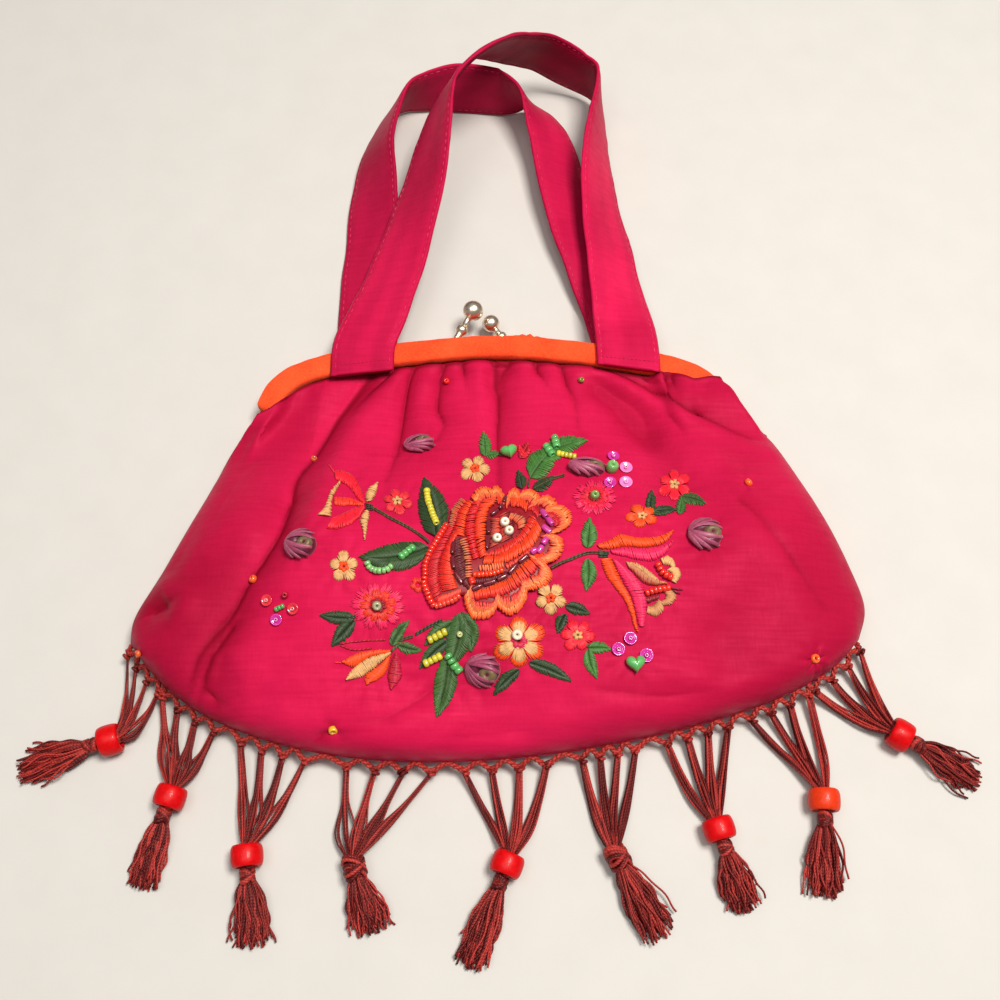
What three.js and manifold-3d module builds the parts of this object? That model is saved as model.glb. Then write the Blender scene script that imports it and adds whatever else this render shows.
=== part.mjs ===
import * as THREE from "three";
import { mergeVertices } from "three/addons/utils/BufferGeometryUtils.js";
import ManifoldModule from "manifold-3d";

// A beaded evening bag that lies on its back: two gathered silk panels sewn together along the
// sides and the bottom, a covered frame with a ball clasp, two ribbon handles, and a cord fringe
// with nine tassels. Millimetres. The origin lies under the flat of the back, on the surface
// that carries the bag. +X is to the right, +Y runs from the fringe to the handles, +Z is up.

const wasm = await ManifoldModule();
wasm.setup();

// Driving dimensions
const GAP = 0.3;
const CLOTH = 1.5;
const SEAM_Z = 7;
const BELLY = 25;
const FRAME_BAND = 8;
const FRAME_THICK = 4.4;
const FRAME_BACK_Z = 4.5;
const FRAME_FRONT_Z = FRAME_BACK_Z + FRAME_THICK + GAP;
const MOUTH_CLEARANCE = 0.7;
const STRAP_WIDTH = 21;
const STRAP_THICK = 2;
const STRAP_END_Y = 40.5;
const STRAP_TOP_Z = FRAME_FRONT_Z + FRAME_THICK / 2 + GAP + STRAP_THICK / 2;
const HINGE_PIN_RADIUS = 1.2;
const HINGE_FROM_END = 4.5;
const HINGE_COVER = 1.2;
const HEADER_RADIUS = 1.9;
const HEADER_OUT = 2.8;
const HEADER_Z = 5.2;
const CORDS_PER_TASSEL = 4;
const CORD_RADIUS = 1;
const BEAD_RADIUS = 4.6;
const BEAD_BORE = 2.3;
const BEAD_LENGTH = 7.4;
const NECK_RADIUS = 1.9;
const KNOT_RADIUS = 3;
const KNOT_LENGTH = 6;
const LOCKS = 4;

// Middle line of the right half of the frame, from the top centre to the end of the leg, and the
// shift of the whole frame to the side
const FRAME_SHIFT = -1.5;
const FRAME_LINE = [
  { x: 0, y: 52.3 },
  { x: 26, y: 50.2 },
  { x: 46, y: 47 },
  { x: 58, y: 44.3 },
  { x: 66.8, y: 40.6 },
  { x: 72.4, y: 35 },
  { x: 75.2, y: 27.4 },
];

// Sewn edge: the two sides from the frame down, and the bottom from corner to corner
const LEFT_SIDE = [
  { x: -84.8, y: 17 },
  { x: -93.4, y: -5 },
  { x: -103.2, y: -28 },
  { x: -110.4, y: -43.5 },
];
const RIGHT_SIDE = [
  { x: 85.6, y: 17 },
  { x: 96.8, y: -5 },
  { x: 107, y: -27 },
  { x: 110.4, y: -40 },
];
const LEFT_CORNER = { x: -110.8, y: -50.5 };
const RIGHT_CORNER = { x: 107.8, y: -49 };
const BOTTOM = [
  { x: -102.5, y: -60 },
  { x: -89, y: -70.4 },
  { x: -66, y: -79.5 },
  { x: -36, y: -84.6 },
  { x: 0, y: -84.4 },
  { x: 34, y: -79.8 },
  { x: 64, y: -72.8 },
  { x: 86, y: -65 },
  { x: 100.5, y: -56.4 },
];

// Gathers under the frame, evenly spread along the mouth
const GATHERS = 11;
const GATHER_RISE = 1.5;

// Long folds of the front panel: from and to in plan, half width, and rise over the panel
const FOLDS = [
  { x0: -44, y0: 34, x1: -86, y1: -62, width: 7, rise: -3 },
  { x0: -36, y0: 30, x1: -72, y1: -60, width: 8, rise: 1.8 },
  { x0: 34, y0: 38, x1: 82, y1: 14, width: 8, rise: 2 },
  { x0: 30, y0: 30, x1: 66, y1: -4, width: 7, rise: -1.6 },
  { x0: -2, y0: 38, x1: -1, y1: 8, width: 6, rise: -2 },
];

// Handles, one row for each section: middle of the ribbon, and its tilt from flat to on edge
const FRONT_HANDLE = [
  { x: -45.6, y: STRAP_END_Y, z: STRAP_TOP_Z, tilt: 0 },
  { x: -45.4, y: 51.5, z: STRAP_TOP_Z, tilt: 0 },
  { x: -40.8, y: 65, z: 13, tilt: 10 },
  { x: -36, y: 81, z: 13.4, tilt: 17 },
  { x: -30.9, y: 98.5, z: 16, tilt: 26 },
  { x: -26.7, y: 114, z: 20, tilt: 35 },
  { x: -23.1, y: 130.5, z: 25, tilt: 49 },
  { x: -18.7, y: 146, z: 30.4, tilt: 62 },
  { x: -12.6, y: 153.2, z: 34.2, tilt: 58 },
  { x: -4.6, y: 160.4, z: 35.4, tilt: 52 },
  { x: 4.5, y: 167.8, z: 28.8, tilt: 63 },
  { x: 16.5, y: 173, z: 20.6, tilt: 80 },
  { x: 29, y: 171.2, z: 14.2, tilt: 90 },
  { x: 35.4, y: 166, z: 13.4, tilt: 88 },
  { x: 37, y: 157.5, z: 13.2, tilt: 80 },
  { x: 36.4, y: 146, z: 12.6, tilt: 70 },
  { x: 35.6, y: 132.5, z: 11.4, tilt: 58 },
  { x: 36, y: 116.5, z: 10, tilt: 46 },
  { x: 38.5, y: 95, z: 9, tilt: 31 },
  { x: 40.6, y: 73, z: 10.6, tilt: 22 },
  { x: 42.5, y: 52, z: STRAP_TOP_Z, tilt: 0 },
  { x: 42.7, y: STRAP_END_Y, z: STRAP_TOP_Z, tilt: 0 },
];
const BACK_HANDLE = [
  { x: -46, y: STRAP_END_Y, z: STRAP_THICK / 2, tilt: 0 },
  { x: -46, y: 57, z: 1.2, tilt: 0 },
  { x: -46.2, y: 77, z: 2, tilt: 4 },
  { x: -45.7, y: 99, z: 4, tilt: 15 },
  { x: -46, y: 121, z: 7, tilt: 31 },
  { x: -44.6, y: 139, z: 10.2, tilt: 50 },
  { x: -40.4, y: 153.5, z: 11.2, tilt: 60 },
  { x: -35.4, y: 160.8, z: 11.2, tilt: 72 },
  { x: -27, y: 164.6, z: 10.8, tilt: 90 },
  { x: -15.5, y: 166, z: 10.5, tilt: 102 },
  { x: 0, y: 164, z: 10.8, tilt: 98 },
  { x: 7.4, y: 160.8, z: 12, tilt: 72 },
  { x: 13, y: 155.6, z: 10.8, tilt: 48 },
  { x: 17, y: 149, z: 8.8, tilt: 36 },
  { x: 20.4, y: 138, z: 7, tilt: 28 },
  { x: 24.8, y: 115, z: 6, tilt: 22 },
  { x: 32.7, y: 89, z: 4.2, tilt: 14 },
  { x: 39.7, y: 69, z: 2, tilt: 5 },
  { x: 42.7, y: 56, z: 1.2, tilt: 0 },
  { x: 42.7, y: STRAP_END_Y, z: STRAP_THICK / 2, tilt: 0 },
];

// Tassels from left to right: share along the bottom edge where the cords hang, middle of the
// bead or knot, tip of the skirt, and the bead's colour
const RED = 0xd8141c;
const ORANGE = 0xe4481c;
const TASSELS = [
  { root: 0.045, x: -114.4, y: -79.1, tipX: -140.4, tipY: -87.3, bead: RED },
  { root: 0.135, x: -94.8, y: -95.4, tipX: -101, tipY: -119.2, bead: RED },
  { root: 0.25, x: -71.2, y: -111.6, tipX: -68.2, tipY: -134.8, bead: RED },
  { root: 0.385, x: -40.8, y: -114.7, tipX: -36, tipY: -131.6, bead: null },
  { root: 0.515, x: 2, y: -113.8, tipX: -8.2, tipY: -139.8, bead: RED },
  { root: 0.635, x: 33.2, y: -112.2, tipX: 44, tipY: -132.5, bead: null },
  { root: 0.75, x: 62.2, y: -104.3, tipX: 68.2, tipY: -125.7, bead: RED },
  { root: 0.86, x: 93, y: -96.3, tipX: 91.4, tipY: -121.8, bead: ORANGE },
  { root: 0.955, x: 117.6, y: -77.6, tipX: 139, tipY: -90.5, bead: RED },
];

// Ball clasp: foot in the frame, ball at the tip, and a collar part of the way up
const CLASP_FRONT = { footX: -16, footY: 53, ballX: -9.2, ballY: 66, ballZ: 10.8, ball: 3.5, collar: 0.45 };
const CLASP_BACK = { footX: 4, footY: 54, ballX: -3.1, ballY: 63.6, ballZ: 6.6, ball: 3, collar: 0.55 };
const CLASP_STEM = 1.3;
const CLASP_COLLAR = 2.1;

// Materials
const cloth = (color) => new THREE.MeshStandardMaterial({ color, roughness: 0.55, metalness: 0 });
const silk = cloth(0xc8144a);
const ribbon = cloth(0xb81244);
const felt = new THREE.MeshStandardMaterial({ color: 0xf04a20, roughness: 0.95, metalness: 0 });
const metal = new THREE.MeshStandardMaterial({ color: 0xd8cfb8, roughness: 0.2, metalness: 1 });
const cord = new THREE.MeshStandardMaterial({ color: 0x7a1e1e, roughness: 0.7, metalness: 0 });
const glaze = (color) => new THREE.MeshStandardMaterial({ color, roughness: 0.15, metalness: 0 });

// Small helpers
const vec = (x, y, z) => new THREE.Vector3(x, y, z);
const UP = vec(0, 0, 1);
const lerp = THREE.MathUtils.lerp;
const smooth = (f) => THREE.MathUtils.smoothstep(f, 0, 1);
const flat = (p) => vec(p.x, p.y, 0);
const curve = (points) => new THREE.CatmullRomCurve3(points, false, "centripetal");
const steps = (count) => Array.from({ length: count + 1 }, (_, i) => i / count);

function geometryOf(vertices, triangles) {
  const geometry = new THREE.BufferGeometry();
  const numbers = vertices.flatMap((v) => v.toArray());
  geometry.setAttribute("position", new THREE.Float32BufferAttribute(numbers, 3));
  geometry.setIndex(triangles.flat());
  return geometry;
}

// A closed solid through a row of rings with equal numbers of points
function loft(rings) {
  const sides = rings[0].length;
  const last = (rings.length - 1) * sides;
  const triangles = [];
  for (let r = 0; r + 1 < rings.length; r++) {
    for (let i = 0; i < sides; i++) {
      const a = r * sides + i;
      const b = r * sides + ((i + 1) % sides);
      triangles.push([a, b, b + sides], [a, b + sides, a + sides]);
    }
  }
  for (let i = 1; i + 1 < sides; i++) {
    triangles.push([0, i + 1, i], [last, last + i, last + i + 1]);
  }
  return geometryOf(rings.flat(), triangles);
}

// A closed sheet between an upper and a lower grid of points with equal rows and columns
function sheet(upper, lower) {
  const rows = upper.length;
  const columns = upper[0].length;
  const below = rows * columns;
  const at = (r, c) => r * columns + c;
  const triangles = [];
  for (let r = 0; r + 1 < rows; r++) {
    for (let c = 0; c + 1 < columns; c++) {
      const [a, b, d, e] = [at(r, c), at(r, c + 1), at(r + 1, c), at(r + 1, c + 1)];
      triangles.push([a, d, e], [a, e, b]);
      triangles.push([a + below, e + below, d + below], [a + below, b + below, e + below]);
    }
  }
  const rim = (p, q) => triangles.push([q, p, p + below], [q, p + below, q + below]);
  for (let r = 0; r + 1 < rows; r++) {
    rim(at(r, 0), at(r + 1, 0));
    rim(at(r + 1, columns - 1), at(r, columns - 1));
  }
  for (let c = 0; c + 1 < columns; c++) {
    rim(at(rows - 1, c), at(rows - 1, c + 1));
    rim(at(0, c + 1), at(0, c));
  }
  return geometryOf([...upper.flat(), ...lower.flat()], triangles);
}

// A tube along points, with a radius at each of them
function tube(points, radii, sides) {
  const rings = points.map((point, i) => {
    const before = points[Math.max(i - 1, 0)];
    const after = points[Math.min(i + 1, points.length - 1)];
    const along = after.clone().sub(before).normalize();
    const across = along.clone().cross(UP).normalize();
    const lift = across.clone().cross(along);
    return Array.from({ length: sides }, (_, k) => {
      const turn = (2 * Math.PI * (k + 0.5)) / sides;
      return point
        .clone()
        .addScaledVector(across, radii[i] * Math.cos(turn))
        .addScaledVector(lift, radii[i] * Math.sin(turn));
    });
  });
  return loft(rings.map((ring) => ring.reverse()));
}

// Joins and cuts of closed geometries
const WELD = 1e-4;
function solidOf(geometry) {
  const bare = geometry.clone();
  bare.deleteAttribute("normal");
  bare.deleteAttribute("uv");
  const merged = mergeVertices(bare, WELD);
  return new wasm.Manifold(
    new wasm.Mesh({
      numProp: 3,
      vertProperties: merged.attributes.position.array,
      triVerts: Uint32Array.from(merged.index.array),
    }),
  );
}

function geometryFrom(solid) {
  const mesh = solid.getMesh();
  const geometry = new THREE.BufferGeometry();
  geometry.setAttribute("position", new THREE.BufferAttribute(mesh.vertProperties, 3));
  geometry.setIndex(new THREE.BufferAttribute(mesh.triVerts, 1));
  return geometry;
}

const join = (pieces) => geometryFrom(pieces.map(solidOf).reduce((whole, piece) => whole.add(piece)));
const cut = (body, tools) =>
  geometryFrom(tools.map(solidOf).reduce((rest, tool) => rest.subtract(tool), solidOf(body)));

const bag = new THREE.Group();

function add(name, geometry, material) {
  const mesh = new THREE.Mesh(geometry, material);
  mesh.name = name;
  bag.add(mesh);
}

// Frame line from the left leg's end over the top to the right leg's end
const rightHalf = FRAME_LINE.map((p) => vec(FRAME_SHIFT + p.x, p.y, 0));
const leftHalf = FRAME_LINE.slice(1).map((p) => vec(FRAME_SHIFT - p.x, p.y, 0)).reverse();
const frameLine = curve([...leftHalf, ...rightHalf]);
const FRAME_STEPS = 26;

function frameOffset(f, outward) {
  const along = frameLine.getTangentAt(f);
  return frameLine.getPointAt(f).addScaledVector(vec(-along.y, along.x, 0), outward);
}

// Mouth of the panels: round the inside of the frame, and under the end of each leg
const LEG_END = 0.0005;
const MOUTH_STEPS = 60;
const inner = -(FRAME_BAND / 2 + MOUTH_CLEARANCE);
const legTip = (f, outward) => {
  const end = frameOffset(f, outward);
  return end.addScaledVector(frameLine.getTangentAt(f), f < 0.5 ? -MOUTH_CLEARANCE : MOUTH_CLEARANCE);
};
const mouthPoints = [
  legTip(LEG_END, FRAME_BAND / 2),
  legTip(LEG_END, inner),
  ...steps(MOUTH_STEPS).slice(1, -1).map((f) => frameOffset(f, inner)),
  legTip(1 - LEG_END, inner),
  legTip(1 - LEG_END, FRAME_BAND / 2),
];
const mouth = new THREE.CurvePath();
mouthPoints.slice(1).forEach((point, i) => mouth.add(new THREE.LineCurve3(mouthPoints[i], point)));
const legShare = mouthPoints[0].distanceTo(mouthPoints[1]) / mouth.getLength();

// Sewn edges, each from the frame or the left corner on
const leftSide = curve([mouthPoints[0], ...LEFT_SIDE.map(flat), flat(LEFT_CORNER)]);
const rightSide = curve([mouthPoints.at(-1), ...RIGHT_SIDE.map(flat), flat(RIGHT_CORNER)]);
const bottom = curve([flat(LEFT_CORNER), ...BOTTOM.map(flat), flat(RIGHT_CORNER)]);

// Place in plan for a share across (s) and down (t) the panel: straight from the mouth to the bottom,
// then bowed by the sides, which near the frame move only what lies under the end of a leg
const BOW_SPREAD = 0.2;
function bow(side, t) {
  return side.getPointAt(t).sub(side.getPoint(0).lerp(side.getPoint(1), t));
}

function panelPlan(s, t) {
  const spread = smooth(t / BOW_SPREAD);
  const share = (f) => lerp(Math.max(0, 1 - f / legShare), 1 - f, spread);
  return mouth
    .getPointAt(s)
    .lerp(bottom.getPointAt(s), t)
    .addScaledVector(bow(leftSide, t), share(s))
    .addScaledVector(bow(rightSide, t), share(1 - s));
}

// How full the panel is: nothing at the sewn edge and the frame, one in the belly
const SIDE_POWER = 4;
const BASE_POWER = 9;
const FULL_AT = 0.68;
function fullness(s, t) {
  const side = 1 - Math.abs(2 * s - 1) ** SIDE_POWER;
  const base = 1 - t ** BASE_POWER;
  return Math.sqrt(Math.max(side * base, 0));
}

// Height of the sewn edge, which leaves the frame half and comes down to the seam
const EDGE_FALL = 0.2;
const edgeHeight = (frameZ, seamZ, t) => lerp(frameZ, seamZ, smooth(t / EDGE_FALL));

function foldRise(x, y) {
  return FOLDS.reduce((sum, fold) => {
    const run = vec(fold.x1 - fold.x0, fold.y1 - fold.y0, 0);
    const from = vec(x - fold.x0, y - fold.y0, 0);
    const along = from.dot(run) / run.lengthSq();
    const near = from.addScaledVector(run, -THREE.MathUtils.clamp(along, 0, 1)).length() / fold.width;
    return sum + fold.rise * Math.exp(-near * near);
  }, 0);
}

const GATHER_START = 0.05;
const GATHER_PEAK = 0.16;
const GATHER_END = 0.5;
function gatherRise(s, t) {
  const grow = smooth((t - GATHER_START) / (GATHER_PEAK - GATHER_START));
  const fade = 1 - smooth((t - GATHER_PEAK) / (GATHER_END - GATHER_PEAK));
  return GATHER_RISE * grow * fade * Math.cos(2 * Math.PI * GATHERS * s);
}

function frontPoint(s, t) {
  const plan = panelPlan(s, t);
  const full = fullness(s, t);
  const belly = BELLY * full * smooth(t / FULL_AT);
  const grip = smooth((t - GATHER_START) / GATHER_PEAK);
  const soft = full * grip * (foldRise(plan.x, plan.y) + gatherRise(s, t));
  plan.z = edgeHeight(FRAME_FRONT_Z, SEAM_Z + GAP / 2, t) + belly + soft;
  return plan;
}

// The back falls from the frame and the seam to the surface and lies flat on it
const BACK_FALL = 1.7;
const BACK_MOUTH_FALL = 0.19;
function backPoint(s, t) {
  const plan = panelPlan(s, t);
  const fall = Math.min(1, BACK_FALL * fullness(s, t)) * smooth(t / BACK_MOUTH_FALL);
  plan.z = lerp(edgeHeight(FRAME_BACK_Z, SEAM_Z - GAP / 2, t), CLOTH / 2, fall);
  return plan;
}

// A panel of even thickness; its sewn edge is a level lip, so that the two panels meet face to face
const PROBE = 0.002;
const INWARD = 0.2;
function panel(pointAt, columns, rows) {
  const inside = (f) => THREE.MathUtils.clamp(f, 0, 1);
  const middle = rows.map((t) => columns.map((s) => pointAt(s, t)));
  const offset = (side) =>
    rows.map((t, r) =>
      columns.map((s, c) => {
        const point = middle[r][c].clone();
        const sewn = t > 0 && (t === 1 || s === 0 || s === 1);
        if (sewn) {
          const within = pointAt(lerp(s, 0.5, INWARD), lerp(t, 0.5, INWARD));
          const inward = within.sub(point).setZ(0).normalize();
          const outer = pointAt === frontPoint ? side > 0 : side < 0;
          return outer ? point : point.addScaledVector(inward, CLOTH);
        }
        if (t === 0) {
          return point.addScaledVector(UP, (side * CLOTH) / 2);
        }
        const across = pointAt(inside(s + PROBE), t).sub(pointAt(inside(s - PROBE), t));
        const down = pointAt(s, inside(t + PROBE)).sub(pointAt(s, inside(t - PROBE)));
        const normal = down.cross(across).normalize();
        return point.addScaledVector(normal, (side * CLOTH) / 2);
      }),
    );
  return sheet(offset(1), offset(-1));
}

// Shares along a panel: close together at both sewn edges, even between them
const LEG_COLUMNS = [0, 0.28, 0.62];
const EDGE_ROWS = [0.94, 0.968, 0.986, 0.995, 1];
const EVEN_TO = 0.9;
const ROW_POWER = 1.15;
const FRONT_GRID = { columns: 27, rows: 13 };
const BACK_GRID = { columns: 10, rows: 7 };

function columnShares(count) {
  const ends = LEG_COLUMNS.map((f) => f * legShare);
  const even = steps(count).map((f) => lerp(legShare, 1 - legShare, f));
  return [...ends, ...even, ...ends.map((f) => 1 - f).reverse()];
}

function rowShares(count) {
  const even = steps(count).map((f) => EVEN_TO * f ** ROW_POWER);
  return [...even, ...EDGE_ROWS];
}

add("front_panel", panel(frontPoint, columnShares(FRONT_GRID.columns), rowShares(FRONT_GRID.rows)), silk);

// The back is sewn from two halves, with a seam just left of its middle
const BACK_SEAM = { at: 0.475, half: 0.0008 };
const backColumns = columnShares(BACK_GRID.columns);
const backRows = rowShares(BACK_GRID.rows);
const seamLeft = BACK_SEAM.at - BACK_SEAM.half;
const seamRight = BACK_SEAM.at + BACK_SEAM.half;
const leftColumns = [...backColumns.filter((s) => s < seamLeft), seamLeft];
const rightColumns = [seamRight, ...backColumns.filter((s) => s > seamRight)];
add("back_panel_left", panel(backPoint, leftColumns, backRows), silk);
add("back_panel_right", panel(backPoint, rightColumns, backRows), silk);

// Frame halves: a bar along the frame line, whose eight-sided section has bevelled corners
const BEVEL = 1.2;
const barSection = [
  { out: -1, lift: -1, outBevel: 0, liftBevel: 1 },
  { out: -1, lift: -1, outBevel: 1, liftBevel: 0 },
  { out: 1, lift: -1, outBevel: -1, liftBevel: 0 },
  { out: 1, lift: -1, outBevel: 0, liftBevel: 1 },
  { out: 1, lift: 1, outBevel: 0, liftBevel: -1 },
  { out: 1, lift: 1, outBevel: -1, liftBevel: 0 },
  { out: -1, lift: 1, outBevel: 1, liftBevel: 0 },
  { out: -1, lift: 1, outBevel: 0, liftBevel: -1 },
];

function frameBar(z) {
  const rings = steps(FRAME_STEPS).map((f) =>
    barSection.map(({ out, lift, outBevel, liftBevel }) => {
      const point = frameOffset(f, (out * FRAME_BAND) / 2 + outBevel * BEVEL);
      return point.setZ(z + (lift * FRAME_THICK) / 2 + liftBevel * BEVEL);
    }),
  );
  return loft(rings);
}

// An upright pin, with room to spare all round it when it is a hole
const PIN_SIDES = 12;
function hingePin(place, room) {
  const radius = HINGE_PIN_RADIUS + room;
  const height = hingeHigh - hingeLow + 2 * room;
  const pin = new THREE.CylinderGeometry(radius, radius, height, PIN_SIDES);
  return pin.rotateX(Math.PI / 2).translate(place.x, place.y, (hingeLow + hingeHigh) / 2);
}

const hingeShare = HINGE_FROM_END / frameLine.getLength();
const hinges = [hingeShare, 1 - hingeShare].map((f) => frameOffset(f, 0));
const frameLow = FRAME_BACK_Z - FRAME_THICK / 2;
const frameHigh = FRAME_FRONT_Z + FRAME_THICK / 2;
const hingeLow = frameLow + HINGE_COVER;
const hingeHigh = frameHigh - HINGE_COVER;
const hingeHoles = hinges.map((place) => hingePin(place, GAP));

// Clasp: a stem with a collar and a ball, soldered into one
const claspFoot = (clasp, z) => vec(clasp.footX, clasp.footY, z);
const claspBall = (clasp) => vec(clasp.ballX, clasp.ballY, clasp.ballZ);
const ROD_SIDES = 8;
const BALL_GRID = { around: 10, down: 7 };
const rod = (from, to, radius) => tube([from, to], [radius, radius], ROD_SIDES);

function claspPiece(clasp, z) {
  const foot = claspFoot(clasp, z);
  const ball = claspBall(clasp);
  const collarAt = foot.clone().lerp(ball, clasp.collar);
  const collarHalf = ball.clone().sub(foot).setLength(CLASP_STEM / 2);
  const head = new THREE.SphereGeometry(clasp.ball, BALL_GRID.around, BALL_GRID.down);
  head.translate(ball.x, ball.y, ball.z);
  const collar = rod(collarAt.clone().sub(collarHalf), collarAt.clone().add(collarHalf), CLASP_COLLAR);
  return join([rod(foot, ball, CLASP_STEM), collar, head]);
}

function claspSocket(clasp, z) {
  const foot = claspFoot(clasp, z);
  const ball = claspBall(clasp);
  const clear = ball.clone().sub(foot).setLength(GAP);
  return rod(foot.clone().sub(clear), ball, CLASP_STEM + GAP);
}

const frameHalf = (clasp, z) => cut(frameBar(z), [...hingeHoles, claspSocket(clasp, z)]);
add("frame_front", frameHalf(CLASP_FRONT, FRAME_FRONT_Z), felt);
add("frame_back", frameHalf(CLASP_BACK, FRAME_BACK_Z), felt);
["hinge_left", "hinge_right"].forEach((name, i) => {
  add(name, hingePin(hinges[i], 0), metal);
});
add("clasp_front", claspPiece(CLASP_FRONT, FRAME_FRONT_Z), metal);
add("clasp_back", claspPiece(CLASP_BACK, FRAME_BACK_Z), metal);

// Handles: a flat ribbon with thin edges that turns from lying flat to standing on edge
const HANDLE_STEPS = 32;
const EDGE_ROUND = 0.92;
function handle(rows) {
  const route = curve(rows.map((row) => vec(row.x, row.y, row.z)));
  const tilts = curve(rows.map((row, i) => vec(i, row.tilt, 0)));
  const rings = steps(HANDLE_STEPS).map((f) => {
    const middle = route.getPoint(f);
    const along = route.getTangent(f);
    const level = along.clone().cross(UP).normalize();
    const lift = level.clone().cross(along);
    const tilt = THREE.MathUtils.degToRad(tilts.getPoint(f).y);
    const across = level.clone().multiplyScalar(Math.cos(tilt)).addScaledVector(lift, Math.sin(tilt));
    const face = across.clone().cross(along);
    const corner = (w, n) =>
      middle
        .clone()
        .addScaledVector(across, (w * STRAP_WIDTH) / 2)
        .addScaledVector(face, (n * STRAP_THICK) / 2);
    const upperFace = [corner(-EDGE_ROUND, 1), corner(EDGE_ROUND, 1)];
    const lowerFace = [corner(EDGE_ROUND, -1), corner(-EDGE_ROUND, -1)];
    return [corner(-1, 0), ...upperFace, corner(1, 0), ...lowerFace];
  });
  return loft(rings);
}

add("handle_front", handle(FRONT_HANDLE), ribbon);
add("handle_back", handle(BACK_HANDLE), ribbon);

// Fringe header: a cord band along the bottom seam
const HEADER_STEPS = 28;
const CORD_SIDES = { header: 6, knot: 6, lock: 5, cord: 4 };
function headerPoint(f, out, z) {
  const along = bottom.getTangentAt(f);
  return bottom.getPointAt(f).addScaledVector(vec(along.y, -along.x, 0), out).setZ(z);
}
const headerPoints = steps(HEADER_STEPS).map((f) => headerPoint(f, HEADER_OUT, HEADER_Z));
add("fringe_header", tube(headerPoints, headerPoints.map(() => HEADER_RADIUS), CORD_SIDES.header), cord);

// Tassels: cords from the header gathered into a neck, a knot, and a skirt of locks
const CORD_Z = 2.6;
const CORD_PITCH = 0.9;
const ROOT_PITCH = 0.026;
const ROOT_OUT = HEADER_OUT + HEADER_RADIUS + 2 * GAP;
const ROOT_DROP = 1;
const THROAT = 2;
const HANG_AT = 0.4;
const KNOT_SHAPE = [
  { at: 0, radius: NECK_RADIUS },
  { at: 0.3, radius: KNOT_RADIUS },
  { at: 0.7, radius: KNOT_RADIUS },
  { at: 1, radius: NECK_RADIUS },
];
const LOCK_RADII = [1.6, 2, 0.8];
const LOCK = { from: 0.8, start: 1.5, spread: 3.4, shorter: 1.6, bellyAt: 0.6, belly: 1.1, lift: 1 };

function tassel(row) {
  const middle = vec(row.x, row.y, BEAD_RADIUS);
  const tip = vec(row.tipX, row.tipY, LOCK_RADII[1]);
  const along = tip.clone().sub(middle).setZ(0).normalize();
  const across = vec(-along.y, along.x, 0);
  const half = (row.bead === null ? KNOT_LENGTH : BEAD_LENGTH) / 2;
  const entry = middle.clone().addScaledVector(along, -half - GAP);
  const knotFrom = middle.clone().addScaledVector(along, row.bead === null ? -half : half + GAP);
  const knotTo = knotFrom.clone().addScaledVector(along, KNOT_LENGTH);
  const throat = entry.clone().addScaledVector(along, -THROAT);
  const core = [throat, knotFrom.clone().lerp(knotTo, 0.5)];
  const pieces = [tube(core, [NECK_RADIUS, NECK_RADIUS], CORD_SIDES.knot)];
  for (let k = 0; k < CORDS_PER_TASSEL; k++) {
    const place = k - (CORDS_PER_TASSEL - 1) / 2;
    const root = headerPoint(row.root + place * ROOT_PITCH, ROOT_OUT, HEADER_Z - ROOT_DROP);
    const gather = throat.clone().addScaledVector(across, place * CORD_PITCH);
    const hang = root.clone().lerp(gather, HANG_AT).setZ(CORD_Z);
    pieces.push(tube([root, hang, gather], [CORD_RADIUS, CORD_RADIUS, CORD_RADIUS], CORD_SIDES.cord));
  }
  const knotAt = KNOT_SHAPE.map((ring) => knotFrom.clone().lerp(knotTo, ring.at));
  const knotRadii = KNOT_SHAPE.map((ring) => ring.radius);
  pieces.push(tube(knotAt, knotRadii, CORD_SIDES.knot));
  for (let k = 0; k < LOCKS; k++) {
    const side = (2 * k) / (LOCKS - 1) - 1;
    const start = knotFrom.clone().lerp(knotTo, LOCK.from).addScaledVector(across, side * LOCK.start);
    const end = tip.clone().addScaledVector(across, side * LOCK.spread);
    end.addScaledVector(along, -LOCK.shorter * side * side);
    const belly = start.clone().lerp(end, LOCK.bellyAt).addScaledVector(across, side * LOCK.belly);
    belly.z += k % 2 === 0 ? 0 : LOCK.lift;
    pieces.push(tube([start, belly, end], LOCK_RADII, CORD_SIDES.lock));
  }
  return join(pieces);
}

// Beads: short drums with rounded shoulders and a bore for the cords
const BEAD_ROUND = 1.5;
const BEAD_SIDES = 12;
function bead(row) {
  const half = BEAD_LENGTH / 2;
  const profile = [
    [BEAD_BORE, -half],
    [BEAD_RADIUS - BEAD_ROUND, -half],
    [BEAD_RADIUS, -half + BEAD_ROUND],
    [BEAD_RADIUS, half - BEAD_ROUND],
    [BEAD_RADIUS - BEAD_ROUND, half],
    [BEAD_BORE, half],
    [BEAD_BORE, -half],
  ].map(([r, h]) => new THREE.Vector2(r, h));
  const drum = new THREE.LatheGeometry(profile, BEAD_SIDES);
  const along = vec(row.tipX - row.x, row.tipY - row.y, 0).normalize();
  const turn = new THREE.Quaternion().setFromUnitVectors(vec(0, 1, 0), along);
  return drum.applyQuaternion(turn).translate(row.x, row.y, BEAD_RADIUS);
}

TASSELS.forEach((row, index) => {
  add(`tassel_${index + 1}`, tassel(row), cord);
  if (row.bead !== null) {
    add(`bead_${index + 1}`, bead(row), glaze(row.bead));
  }
});

export default bag;
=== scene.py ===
import math

import bpy
import numpy as np
from mathutils import Matrix, Vector
from mathutils.bvhtree import BVHTree


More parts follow.
